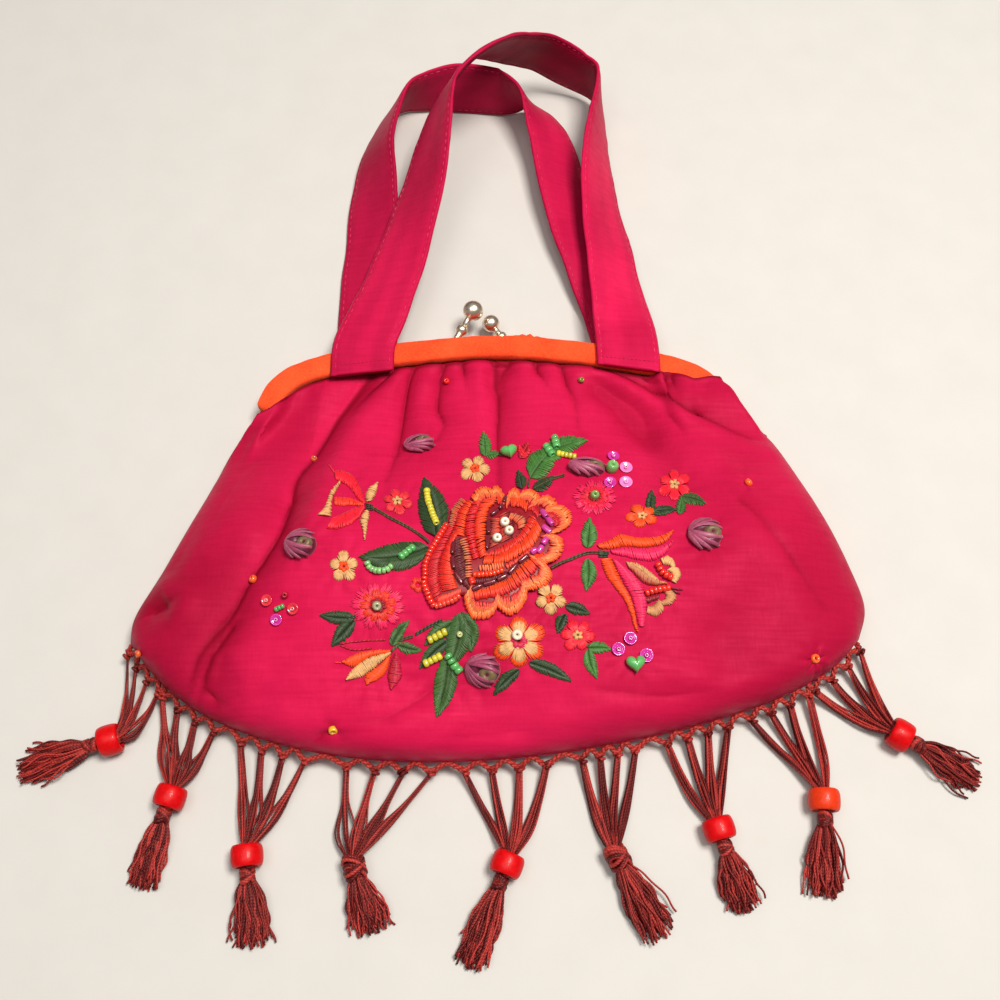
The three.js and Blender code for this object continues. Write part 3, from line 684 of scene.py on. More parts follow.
# Painted shade: how much darker the cloth's colour is made at the mouth under the frame, in folds and
# creases, on their walls, beside the deep pleat and under motifs
MOUTH_PAINTED_SHADE = 0.6
FOLD_PAINTED_SHADE = 0.5
CREASE_PAINTED_SHADE = 0.16
WALL_PAINTED_SHADE = 0.125
PLEAT_PAINTED_SHADE = 0.14
MOTIF_PAINTED_SHADE = 0.1
DEEPEST_PAINTED_SHADE = 0.75
# Painted shade on the sides: strength, hand, start and growth across, start and growth down the panel
SIDE_PAINTED_SHADES = [
    (0.23, 1, 42, 36, -1, 1),
    (0.18, 1, -10, 40, 0.5, 0.3),
    (0.2, -1, 66, 18, 0.5, 0.25),
]


def folded(points, s, t):
    """The cloth with its folds, and the painted shade of each point, darkest in a crease."""
    find = finder(points)
    rise = np.zeros(points.shape[:-1])
    pleats = np.zeros(points.shape[:-1])
    # Painted shadow of the frame along the mouth.
    painted_shade = MOUTH_PAINTED_SHADE * (1 - smooth(t / 0.014))

    def beside(line):
        ends = np.array([hit[:2] for hit, _ in (find(u, v) for u, v in line) if hit is not None])
        if len(ends) < 2:
            return 0 * rise, 0 * rise, 0 * rise
        if line[0][1] < TOP_ROW:
            ends = np.vstack([ends[0] + 5 * unit(ends[0] - ends[1]), ends])
        d, along, hand = near_line(points[..., :2], Path(spline(ends, 6)).points)
        return d, 0.3 + 0.7 * smooth((1 - along) / 0.5), hand

    for line, width, height in FOLDS:
        d, taper, _ = beside(line)
        bell = taper * np.exp(-((d / width) ** 2))
        rise += height * bell
        # Painted shade in the hollows of folds.
        painted_shade += FOLD_PAINTED_SHADE / width * max(0, -height) * bell
    for line, near, far, depth in CREASES:
        d, taper, hand = beside(line)
        soft = max(0.3, 0.09 * depth)
        wall = np.sqrt(d**2 + soft**2) - soft
        pleats -= depth * taper * np.exp(-wall / np.where(hand > 0, far, near))
        # Painted shade along each crease and on its far wall.
        painted_shade += CREASE_PAINTED_SHADE * depth * taper * np.exp(-((d / 1.1) ** 2))
        painted_shade += WALL_PAINTED_SHADE * depth * taper * np.exp(-wall / (1.4 * far)) * (hand > 0)
        if line is CREASES[0][0] or line is CREASES[1][0]:
            # Painted shade beside the deep pleat.
            painted_shade += PLEAT_PAINTED_SHADE * smooth((0.5 - hand) / 0.1) * smooth(d / 6)
    # Painted shade on the sides of the panel.
    for strength, hand, start, growth, top, fall in SIDE_PAINTED_SHADES:
        painted_shade += strength * smooth((hand * points[..., 0] - start) / growth) * smooth((t - top) / fall)
    for u, v, radius in MOTIFS:
        hit, _ = find(u, v)
        away = points[..., :2] - hit[:2]
        d = np.linalg.norm(away, axis=-1)
        reach = radius * PIXEL
        rays = np.cos(round(5 + reach * 0.8) * np.arctan2(away[..., 1], away[..., 0]) + u)
        rise += 0.22 * rays * smooth((d - 0.7 * reach) / 2) * np.exp(-(((d - reach) / 4.5) ** 2))
        rise -= 0.35 * np.exp(-((d / (reach + 3)) ** 4))
        # Painted shade round the sewn motifs.
        painted_shade += MOTIF_PAINTED_SHADE * np.exp(-((d / (reach + 4)) ** 4))
    edges = smooth((1 - t) / 0.03) * smooth(s / 0.03) * smooth((1 - s) / 0.03)
    loose = smooth(t / 0.03)
    flat = points[..., :2]
    gather = ridged(flat * [1, 0.18], 4.2, 3) * smooth((0.2 - t) / 0.17)
    rise += 0.45 * gather + 0.9 * ripple(flat, 26, 5)
    rise += 0.5 * ridged(flat @ SLANT, 15, 6) + 0.14 * ridged(flat, 6.5, 7)
    rise += 0.45 * ripple(flat, 8, 9) * smooth((t - 0.84) / 0.09)
    calm = 1 - (1 - smooth(s / 0.1)) * (1 - smooth(t / 0.3))
    rise = (rise * loose + pleats * lerp(0.5, 1, loose)) * edges * calm
    return points + normals_of(points) * rise[..., None], np.clip(painted_shade, 0, DEEPEST_PAINTED_SHADE)


def sunk(points, u, v, radius, depth, rays):
    """A dimple where a bead is sewn on, with rays of small creases round it."""
    hit, _ = finder(points)(u, v)
    away = points[..., :2] - hit[:2]
    d = np.linalg.norm(away, axis=-1)
    rise = -depth * np.exp(-((d / radius) ** 2))
    if rays:
        angle = np.arctan2(away[..., 1], away[..., 0])
        fade = np.exp(-((d / (2.6 * radius)) ** 2)) * smooth(d / radius)
        rise = rise + 0.45 * depth * np.cos(rays * angle) * fade
    return points + normals_of(points) * rise[..., None]


# Single beads: picture point, radius and depth of the dimple, number of rays
DIMPLES = [
    (814, 660, 1.6, 1.2, 7), (747, 484, 1.6, 0.9, 5), (333, 728, 1.6, 0.7, 4), (313, 460, 1.5, 0.4, 0),
    (448, 383, 1.4, 0.5, 0), (580, 381, 1.4, 0.5, 0), (140, 653, 1.4, 0.5, 0), (255, 580, 1.4, 0.5, 0),
]
front, front_painted_shade = folded(front, grid_s, grid_t)
for dimple in DIMPLES:
    front = sunk(front, *dimple)
front = front + normals_of(front) * (CLOTH / 2)
front[..., 2] = np.maximum(front[..., 2], SEAM_Z)
on_front = finder(front)

SILK_THICK = 0.7
# Share of the painted shade taken off each channel, red a little less.
PAINTED_SHADE_COLOUR = [0.8, 1.0, 1.0]


def cloth_piece(name, points, nodes, down, painted_shade):
    """A silk panel over a grid of points, facing up or down, its colour darkened by painted shade."""
    build = Build()
    faces = grid_faces(*points.shape[:2])
    tint = 1 - np.ravel(painted_shade)[:, None] * PAINTED_SHADE_COLOUR
    build.add(points, [faces if down else faces[:, ::-1]], tint)
    piece = build.make(name, SILK, "silk", nodes)
    solid = piece.modifiers.new("thickness", "SOLIDIFY")
    solid.thickness = SILK_THICK * MM
    solid.offset = -1
    return piece


front_piece = cloth_piece("front_silk", front, "front_panel", False, front_painted_shade)

# Back panel: falls from the frame and the seam to the floor and lies flat on it
BACK_ROWS = 82
BACK_COLUMNS = 134
back_plan = Panel(lambda f: np.full(len(f), INNER), [(FRAME_BAND / 2, MOUTH_CLEARANCE)] * 2)
back_s, back_t = np.meshgrid(shares(BACK_COLUMNS, 1.35), shares(BACK_ROWS, 1.5))
back_fall = np.minimum(1, 1.7 * fullness(back_s, back_t)) * smooth(back_t / 0.19)
back_climb = lerp(0.05, 0.2, smooth(np.minimum(back_s, 1 - back_s) / 0.07))
back_edge = lerp(FRAME_BACK_Z, SEAM_Z, smooth(back_t / back_climb))
back_height = lerp(back_edge, CLOTH / 2, back_fall)
back = np.concatenate([back_plan.plan(back_s, back_t), back_height[..., None]], -1)
crease = ripple(back[..., :2], 9, 21) * smooth((0.3 - back_t) / 0.25) * smooth(back_t / 0.04)
back[..., 2] += np.maximum(0, 0.7 * crease * smooth(back_s / 0.05) * smooth((1 - back_s) / 0.05))
back = back - normals_of(back) * (CLOTH / 2)
back[..., 2] = np.clip(back[..., 2], FLOOR_GAP, SEAM_Z)
back_piece = cloth_piece("back_silk", back, ["back_panel_left", "back_panel_right"], True, 0 * back_t)

# Handles: the rows of the solids, with crowned faces, stitched edges and small creases
STRAP_WIDTH = 21
STRAP_THICK = 2
STRAP_COLUMNS = 27
# Middle of the strap and its tilt in degrees, from the left end to the right
FRONT_HANDLE = [
    (-45.6, 40.5, 12.7, 0), (-45.4, 51.5, 12.7, 0), (-40.8, 65, 13, 10), (-36, 81, 13.4, 17),
    (-30.9, 98.5, 16, 26), (-26.7, 114, 20, 35), (-23.1, 130.5, 25, 49), (-18.7, 146, 30.4, 62),
    (-12.6, 153.2, 34.2, 58), (-4.6, 160.4, 35.4, 52), (4.5, 167.8, 28.8, 63), (16.5, 173, 20.6, 80),
    (29, 171.2, 14.2, 90), (35.4, 166, 13.4, 88), (37, 157.5, 13.2, 80), (36.4, 146, 12.6, 70),
    (35.6, 132.5, 11.4, 58), (36, 116.5, 10, 46), (38.5, 95, 9, 31), (40.6, 73, 10.6, 22),
    (42.5, 52, 12.7, 0), (42.7, 40.5, 12.7, 0),
]
BACK_HANDLE = [
    (-46, 40.5, 1, 0), (-46, 57, 1.2, 0), (-46.2, 77, 2, 4), (-45.7, 99, 4, 15), (-46, 121, 7, 31),
    (-44.6, 139, 10.2, 50), (-40.4, 153.5, 11.2, 60), (-35.4, 160.8, 11.2, 72), (-27, 164.6, 10.8, 90),
    (-15.5, 166, 10.5, 102), (0, 164, 10.8, 98), (7.4, 160.8, 12, 72), (13, 155.6, 10.8, 48),
    (17, 149, 8.8, 36), (20.4, 138, 7, 28), (24.8, 115, 6, 22), (32.7, 89, 4.2, 14), (39.7, 69, 2, 5),
    (42.7, 56, 1.2, 0), (42.7, 40.5, 1, 0),
]
# Share of the half width at which the edges are stitched, step from stitch to stitch, length of a stitch,
# and distance of the stitched ends
STITCH_LINE = 0.84
STITCH_PITCH = 2.6
STITCH_LENGTH = 1.7
END_STITCHES = 3.2


class Stitches:
    """Arched threads between points, each with its own direction away from the cloth, as one mesh."""

    STATIONS = np.array([0, 0.16, 0.5, 0.84, 1.0])
    SECTION = np.radians([0, 60, 120, 180])
    SUNK = 0.12
    END_SHARE = 0.55

    def __init__(self):
        self.rows = []

    def add(self, a, b, normal, radius, height, tone_a, tone_b):
        self.rows.append(np.concatenate([a, b, normal, [radius, height], tone_a, tone_b]))

    def make(self, name, slot):
        """One piece of all the threads."""
        columns = np.split(np.array(self.rows), [3, 6, 9, 10, 11, 14], axis=1)
        a, b, normal, radius, height, tone_a, tone_b = columns
        f = self.STATIONS[None, :, None]
        bow = 1 - (2 * f - 1) ** 4
        line = lerp(a[:, None], b[:, None], f) + normal[:, None] * (bow * height[:, None] - self.SUNK)
        across = unit(np.cross(b - a, normal))
        swell = radius[:, None] * lerp(self.END_SHARE, 1, bow)
        c, s = np.cos(self.SECTION)[:, None], np.sin(self.SECTION)[:, None]
        ring = across[:, None, None] * c + normal[:, None, None] * s
        points = line[:, :, None] + ring * swell[:, :, None]
        k, n, m = points.shape[:3]
        along = f * np.linalg.norm(b - a, axis=1)[:, None, None]
        tint = np.repeat(lerp(tone_a[:, None], tone_b[:, None], f), m, axis=1).reshape(-1, 3)
        build = Build()
        build.add(points, tube_faces(n, m, k), tint, winding(points.shape, self.SECTION, along))
        return build.make(name, FLOSS, slot)


FLOSS = tinted_material("floss", 0.42, sheen=0.1, twist=2.2, groove_painted_shade=0.8, fibre=0.25, specular=0.35,
                        variety=0.2)


def ribbon(name, rows, node_name, seed, slants, underside_painted_shade, painted_shadow_and_light):
    """A handle: slants of both ends, painted shade on its under side, and painted shadow on its left and
    right leg, where a negative value paints light.
    """
    rows = np.array(rows, float)
    line = spline(rows[:, :3], 16)
    tilt = np.radians(spline(np.stack([np.arange(len(rows)), rows[:, 3]], -1), 16)[:, 1])
    ahead = unit(np.gradient(line, axis=0))
    level = unit(np.cross(ahead, [0, 0, 1.0]))
    lift = np.cross(level, ahead)
    across = level * np.cos(tilt)[:, None] + lift * np.sin(tilt)[:, None]
    face = np.cross(across, ahead)
    along = Path(line).along
    upper = np.linspace(-1, 1, STRAP_COLUMNS)
    w = np.concatenate([upper, upper[-2:0:-1]])
    side = np.where(np.arange(len(w)) < STRAP_COLUMNS, 1.0, -1.0)
    side[[0, STRAP_COLUMNS - 1]] = 0
    furrow = np.exp(-(((np.abs(w) - STITCH_LINE) / 0.05) ** 2))
    crown = np.sqrt(np.maximum(0, 1 - np.abs(w) ** 10)) * (1 - 0.42 * furrow)
    place = np.stack(np.broadcast_arrays(along[:, None], w[None] * STRAP_WIDTH / 2), -1)
    free = smooth(along / 18) * smooth((along[-1] - along) / 18)
    wave = 0.28 * ripple(place * [1, 0.35], 11, seed) * free[:, None]
    beside = np.exp(-(((np.abs(w) - STITCH_LINE) / 0.12) ** 2))
    pucker = 0.16 * ripple(place * [1, 0.15], 3.2, seed + 1) * beside
    edge = 0.22 * ripple(along[:, None], 13, seed + 2) * free
    height = side * crown * STRAP_THICK / 2 + wave + pucker * side
    aside = w * (STRAP_WIDTH / 2 + edge[:, None] * np.abs(w))
    points = line[:, None] + across[:, None] * aside[..., None] + face[:, None] * height[..., None]
    for (shift, slope), gone in zip(slants, (along, along[-1] - along)):
        cut = (shift + slope * w) * (1 - smooth(gone / 9))[:, None]
        points = points + ahead[:, None] * cut[..., None]
    points[..., 2] = np.maximum(points[..., 2], FLOOR_GAP)
    n, m = points.shape[:2]
    build = Build()
    streaks = 1 - 0.14 * smooth(0.5 + 0.6 * ripple(place * [0.14, 1.0], 5, seed + 3))
    streaks = streaks - 0.1 * smooth(0.5 + 0.8 * ripple(place * [1, 0.3], 30, seed + 4))
    gone = along / along[-1]
    # Painted shadow on the left leg and the top, and painted shadow or, for a negative share, painted light
    # on the right leg.
    left, right = painted_shadow_and_light
    painted_shading = 1 - left * smooth((gone - 0.1) / 0.15) * smooth((0.5 - gone) / 0.15)
    painted_shading = painted_shading - right * smooth((gone - 0.6) / 0.1)
    # The under side is darkened by painted shade.
    shade = np.where(side < 0, underside_painted_shade, 1.0) * streaks * painted_shading[:, None]
    build.add(points, tube_faces(n, m, flip=False), np.repeat(shade.reshape(-1, 1), 3, axis=1))
    piece = build.make(name, RIBBON, "ribbon", node_name)
    sewing = Stitches()
    dark, pale = linear(176, 14, 58), linear(222, 50, 96)

    def between(x, column):
        return lerp(points[int(x), column], points[min(int(x) + 1, n - 1), column], x % 1)

    for d in np.arange(3.0, along[-1] - 3, STITCH_PITCH):
        i, j = np.interp([d, d + STITCH_LENGTH], along, np.arange(n))
        for edge_w in (-STITCH_LINE, STITCH_LINE):
            for up in (1, -1):
                column = int(np.argmin(np.abs(w - edge_w) + (side != up)))
                tone = lerp(dark, pale, RNG.uniform(0, 1))
                a, b = between(i, column), between(j, column)
                sewing.add(a, b, face[int(i)] * up, 0.16, 0.2, tone, tone)
    for end in (0, n - 1):
        inward = 1 if end == 0 else -1
        near = int(np.argmin(np.abs(along - (along[end] + inward * END_STITCHES))))
        inner = points[near, 1 : STRAP_COLUMNS - 1].T
        for x in np.arange(-0.8, 0.8, 0.13):
            ends = (np.array([np.interp(y, upper[1:-1], row) for row in inner]) for y in (x, x + 0.085))
            sewing.add(*ends, face[near], 0.15, 0.2, dark, dark)
    sewing.make(name + "_stitching", "ribbon")
    return piece


# The front handle gets painted shade on its under side and left leg, and painted light on its right leg.
front_strap = ribbon("front_ribbon", FRONT_HANDLE, "handle_front", seed=31,
                     slants=[(-0.2, 1.5), (-1.7, -1.7)], underside_painted_shade=0.5, painted_shadow_and_light=(0.1, -0.14))
# The back handle gets painted shade on its under side and painted shadow on its left leg.
back_strap = ribbon("back_ribbon", BACK_HANDLE, "handle_back", seed=41, slants=[(0, 0), (0, 0)],
                    underside_painted_shade=0.8, painted_shadow_and_light=(0.24, 0.0))

# Frame halves: padded bars covered in felt, with a lifted edge of the covering by the clasp
BAR_ROWS = 260
BAR_SIDES = 28


def bar_section():
    """Outward and upward shares round a bar with rounded corners."""
    a = np.arange(BAR_SIDES) * 2 * math.pi / BAR_SIDES
    c, s = np.cos(a), np.sin(a)
    return np.sign(c) * np.abs(c) ** 0.45, np.sign(s) * np.abs(s) ** 0.5


def frame_half(name, z, node_name, torn, seed):
    """One bar of the frame at a height, with a share of the torn covering."""
    f = np.linspace(0, 1, BAR_ROWS)
    out, up = bar_section()
    line = frame_line.at(f)
    ends = np.sqrt(np.clip(np.minimum(f, 1 - f) * frame_line.length / 1.6, 0, 1))
    ends = (0.35 + 0.65 * ends)[:, None]
    x = line[:, :1]
    tear = torn * np.exp(-(((x - 9) / 5) ** 2)) * (0.7 + 0.5 * ripple(x, 1.6, seed + 4)[:, None])
    reach = out * FRAME_BAND / 2 * ends + np.maximum(0, out - 0.6) * 2.2 * tear
    rise = up * FRAME_THICK / 2 * ends + ((out > 0.7) & (up > 0)) * 0.5 * tear
    t = frame_line.tangent(f)
    plan = line[:, None] + np.stack([-t[:, 1], t[:, 0]], -1)[:, None] * reach[..., None]
    points = np.concatenate([plan, (z + rise)[..., None]], -1)
    soft = 0.10 * ripple(points, 3.0, seed) + 0.10 * ripple(points, 9.0, seed + 1)
    middle = np.column_stack([line, np.full(len(f), z)])
    points = points + unit(points - middle[:, None]) * soft[..., None]
    build = Build()
    build.add(points, tube_faces(BAR_ROWS, BAR_SIDES))
    return build.make(name, FELT, "felt", node_name)


frame_half("front_bar", FRAME_FRONT_Z, "frame_front", 1.0, 51)
frame_half("back_bar", FRAME_BACK_Z, "frame_back", 0.3, 61)

# Clasp: a stem with a collar that ends in a polished ball
METAL = tinted_material("clasp_metal", 0.3, metal=1.0, fibre=0.05, variety=0.12)
GILT = linear(240, 228, 206)
CLASP_SIDES = 32
STEM = 1.3


def clasp(name, foot, ball, radius, collar, knob, node_name):
    """A stem from foot to ball, with a collar of a knob's radius at a share of its length."""
    axis = np.array(ball, float) - foot
    length = np.linalg.norm(axis)
    ring = collar * length
    rows = [(0.02, 0.0), (STEM, 0.02), (1.25, ring - 2.2)]
    for x in np.linspace(0.3, math.pi - 0.3, 9):
        rows.append((STEM + (knob - STEM) * math.sin(x), ring - STEM * math.cos(x)))
    rows += [(1.1, ring + 1.8), (1.0, length - radius * 0.98)]
    for x in np.linspace(0.35, math.pi - 0.02, 14):
        rows.append((radius * math.sin(x), length - radius * math.cos(x)))
    vertices, faces = lathe(rows, CLASP_SIDES)
    build = Build()
    build.add(vertices @ turned(axis).T + foot, [faces[:-CLASP_SIDES]], GILT)
    return build.make(name, METAL, "clasp_metal", node_name)


clasp("front_ball", (-16, 53, FRAME_FRONT_Z), (-9.2, 66, 10.8), 3.5, 0.45, 2.1, "clasp_front")
clasp("back_ball", (4, 54, FRAME_BACK_Z), (-3.1, 63.6, 6.6), 3.0, 0.5, 2.0, "clasp_back")

# Hinge pins: the solids themselves, in a worn metal
pin_material, pin_tree, pin_shader = nodes_of("hinge_metal")
pin_mottle = noise_of(pin_tree, place_of(pin_tree), 700.0)
pin_colour = blend_of(pin_tree, pin_mottle, rgba(GILT * 0.7), rgba(GILT))
pin_rough = ranged(pin_tree, pin_mottle, 0.3, 0.7, 0.25, 0.4)
preset(pin_tree, pin_shader, {"Base Color": pin_colour, "Roughness": pin_rough, "Metallic": 1.0})
for name in ("hinge_left", "hinge_right"):
    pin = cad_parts[name]
    pin.data.materials.clear()
    pin.data.materials.append(pin_material)

# Fringe: a knotted cord along the seam, and tassels of plied threads through glossy beads
CORD = tinted_material("cord", 0.42, twist=0.9, groove_painted_shade=0.5, fibre=0.45, specular=0.22, variety=0.3)
BEAD = tinted_material("pony_bead", 0.4, coat=0.07, fibre=0.06, specular=0.16, variety=0.16)
BEAD_RADIUS = 4.6
BEAD_BORE = 2.3
BEAD_LENGTH = 6.2
KNOT_LENGTH = 6
KNOT_OUT = 3.3
KNOT_Z = 4.2
HEADER_Z = 6.2
HEADER_POINTS = 620
LEGS = 4
LEG_POINTS = 18
SKIRT_THREADS = 120
STRAYS_FROM = 110
SKIRT_POINTS = 18
SKIRT_RADIUS = 0.3
SKIRT_LOW = 0.42
FLOSS_RADIUS = 0.27
LEG_RADIUS = 0.36
# Tassels on loose floss; the others hang on cords
FLOSS_TASSELS = (1, 2, 3, 4)
# Share of the seam in the middle of the four legs, step between them, bead or knot, tip, and bead colour
TASSELS = [
    (0.036, 0.022, -114.4, -79.1, -140.4, -87.3, "red"),
    (0.115, 0.026, -94.8, -95.4, -101, -119.2, "red"),
    (0.2315, 0.027, -71.2, -111.6, -68.2, -134.8, "red"),
    (0.375, 0.034, -40.8, -114.7, -36, -131.6, None),
    (0.517, 0.033, 2, -113.8, -8.2, -139.8, "red"),
    (0.644, 0.022, 33.2, -112.2, 44, -132.5, None),
    (0.757, 0.026, 62.2, -104.3, 68.2, -125.7, "red"),
    (0.867, 0.026, 93, -96.3, 91.4, -121.8, "orange"),
    (0.955, 0.026, 117.6, -77.6, 139, -90.5, "red"),
]
BEAD_TONES = {"red": linear(204, 3, 10), "orange": linear(214, 54, 18)}


def thread_tone(count):
    """Random colours of the fringe's threads."""
    f = RNG.uniform(0, 1, (count, 1))
    return lerp(linear(80, 12, 12), linear(184, 56, 50), f**1.6)


def seam(f, out, z):
    """Points beside the bottom seam, outward of it and at a height."""
    t = bottom.tangent(f)
    plan = bottom.at(f) + np.stack([t[..., 1], -t[..., 0]], -1) * np.asarray(out)[..., None]
    return np.concatenate([plan, np.broadcast_to(np.asarray(z, float), plan.shape[:-1])[..., None]], -1)


leg_shares = np.array([[row[0] + (k - (LEGS - 1) / 2) * row[1] for k in range(LEGS)] for row in TASSELS])
knots = np.clip(np.sort(leg_shares.ravel()), 0.002, 0.998)
header = Build()
CORD_PITCH = 3.4
CORD_WIND = 0.42
zigzag = [seam(0.0, 0.6, HEADER_Z)]
for i, k in enumerate(knots):
    zigzag.append(seam(k, KNOT_OUT - 0.4 + RNG.uniform(-0.3, 0.3), KNOT_Z + 0.2))
    after = knots[i + 1] if i + 1 < len(knots) else 1.0
    drop = min(0.5 + 60 * max(0.0, after - k - 0.03), 1.6)
    zigzag.append(seam((k + after) / 2, 0.7 + drop * 0.3, HEADER_Z))
zigzag = Path(spline(zigzag, 8))
run = zigzag.at(np.linspace(0, 1, HEADER_POINTS))
ahead = unit(np.gradient(run, axis=0))
level = unit(np.cross(ahead, [0, 0, 1.0]))
phase = np.linspace(0, zigzag.length / CORD_PITCH * 2 * math.pi, len(run))[:, None]
for ply in (0, math.pi):
    wind = level * np.cos(phase + ply) + np.cross(level, ahead) * np.sin(phase + ply)
    tubes(header, (run + CORD_WIND * wind)[None], 0.54, 6, thread_tone(1))
turn = np.linspace(0, 2.6 * math.pi, 22)
for k in knots:
    centre = seam(k, KNOT_OUT, KNOT_Z)
    t = bottom.tangent(k)
    along = np.array([t[1], -t[0], 0.0])
    over = np.array([t[0], t[1], 0.0])
    size = RNG.uniform(0.85, 1.15)
    slant = RNG.uniform(-0.5, 0.5)
    loop = centre + np.outer(1.1 * size * np.cos(turn), over) + np.outer(size * np.sin(turn), [0, 0, 1.0])
    loop = loop + along * ((turn / turn[-1] - 0.5) * 1.8 + slant * np.cos(turn))[:, None]
    tubes(header, loop[None], 0.55, 5, thread_tone(1))
header.make("knotted_header", CORD, "cord", "fringe_header")


def bundle(starts, ends, middles, points):
    """Smooth lines through start, middles and end of each thread."""
    lines = [Path(spline([start, *inner, end], 8)) for start, end, inner in zip(starts, ends, middles)]
    return np.array([line.at(np.linspace(0, 1, points)) for line in lines])


def tied(build, start, ahead, length, radius):
    """An overhand knot: slanting loops of doubled thread round an axis."""
    side = unit(np.cross(ahead, [0, 0, 1.0]))
    lift = np.cross(side, ahead)
    a = np.linspace(0, 2.1 * math.pi, 30)
    for k in range(9):
        f = k / 8
        r = radius * (0.74 + 0.26 * math.sin(math.pi * (0.12 + 0.76 * f)))
        slant = RNG.uniform(0.25, 0.42) * (1 if k % 2 else -1) * length
        turn = a + RNG.uniform(-0.5, 0.5) + math.pi * (k % 2)
        along = length * (0.5 + 0.5 * (f - 0.5)) + slant * np.cos(turn)
        line = start + np.outer(np.clip(along, -0.5, length + 0.5), ahead)
        line = line + np.outer(r * np.cos(turn + 0.8), side) + np.outer(r * np.sin(turn + 0.8), lift)
        line[:, 2] = np.maximum(line[:, 2], 0.65)
        tubes(build, line[None], 0.6, 6, thread_tone(1))


def skirt(build, start_at, tip, ahead, across):
    """Loose threads that fan out from a knot towards the tip of a tassel."""
    starts, ends, middles = [], [], []
    length = np.linalg.norm((tip - start_at)[:2])
    for j in range(SKIRT_THREADS):
        a, r = RNG.uniform(0, 2 * math.pi), math.sqrt(RNG.uniform(0, 1))
        wide, tall = r * math.cos(a), r * math.sin(a)
        stray = 1 if j < STRAYS_FROM else RNG.uniform(1.3, 1.9)
        reach = length * (RNG.uniform(0.74, 1.08) - 0.1 * wide**2)
        start = start_at - ahead * 1.4 + across * wide * 1.4 + [0, 0, tall * 1.2]
        end = start_at + ahead * reach + across * (wide * 4.8 * stray + RNG.normal(0, 0.7))
        end[2] = 0.45 + 1.5 * (tall + 1) * RNG.uniform(0.4, 1.0)
        belly = lerp(start, end, 0.3) + across * (wide * 0.8 + RNG.normal(0, 0.3))
        belly[2] = np.clip(1.6 + 1.9 * (tall + 1) + RNG.normal(0, 0.3), 0.6, 5.6)
        late = lerp(belly, end, 0.55) + across * RNG.normal(0, 0.7) + [0, 0, RNG.uniform(-0.1, 0.5)]
        starts.append(start)
        middles.append([belly, late])
        ends.append(end)
    lines = bundle(starts, ends, middles, SKIRT_POINTS)
    waves = RNG.uniform(9, 17, (SKIRT_THREADS, 1))
    sway = np.sin(np.linspace(0, 1, SKIRT_POINTS) * waves + RNG.uniform(0, 6.3, (SKIRT_THREADS, 1)))
    lines = lines + across * (sway * np.linspace(0, 0.45, SKIRT_POINTS))[..., None]
    lines[..., 2] = np.maximum(lines[..., 2], SKIRT_LOW)
    tubes(build, lines, SKIRT_RADIUS, 5, thread_tone(len(lines)))


def pony_bead(index, middle, ahead, colour):
    """A glossy drum with a wide hole along the tassel."""
    a = np.linspace(0, 2 * math.pi, 24, endpoint=False)
    c, s = np.cos(a), np.sin(a)
    mid, depth = (BEAD_RADIUS + BEAD_BORE) / 2, (BEAD_RADIUS - BEAD_BORE) / 2
    radii = mid + depth * np.sign(c) * np.abs(c) ** 0.8
    heights = BEAD_LENGTH / 2 * np.sign(s) * np.abs(s) ** 0.82
    vertices, faces = lathe(np.column_stack([radii, heights]), 40)
    vertices = vertices * (1 + 0.012 * ripple(vertices, 4.0, index)[:, None])
    drum = Build()
    drum.add(vertices @ turned(ahead).T + middle, [faces[:, ::-1]], BEAD_TONES[colour])
    drum.make(f"pony_bead_{index}", BEAD, f"{colour}_bead", f"bead_{index}")


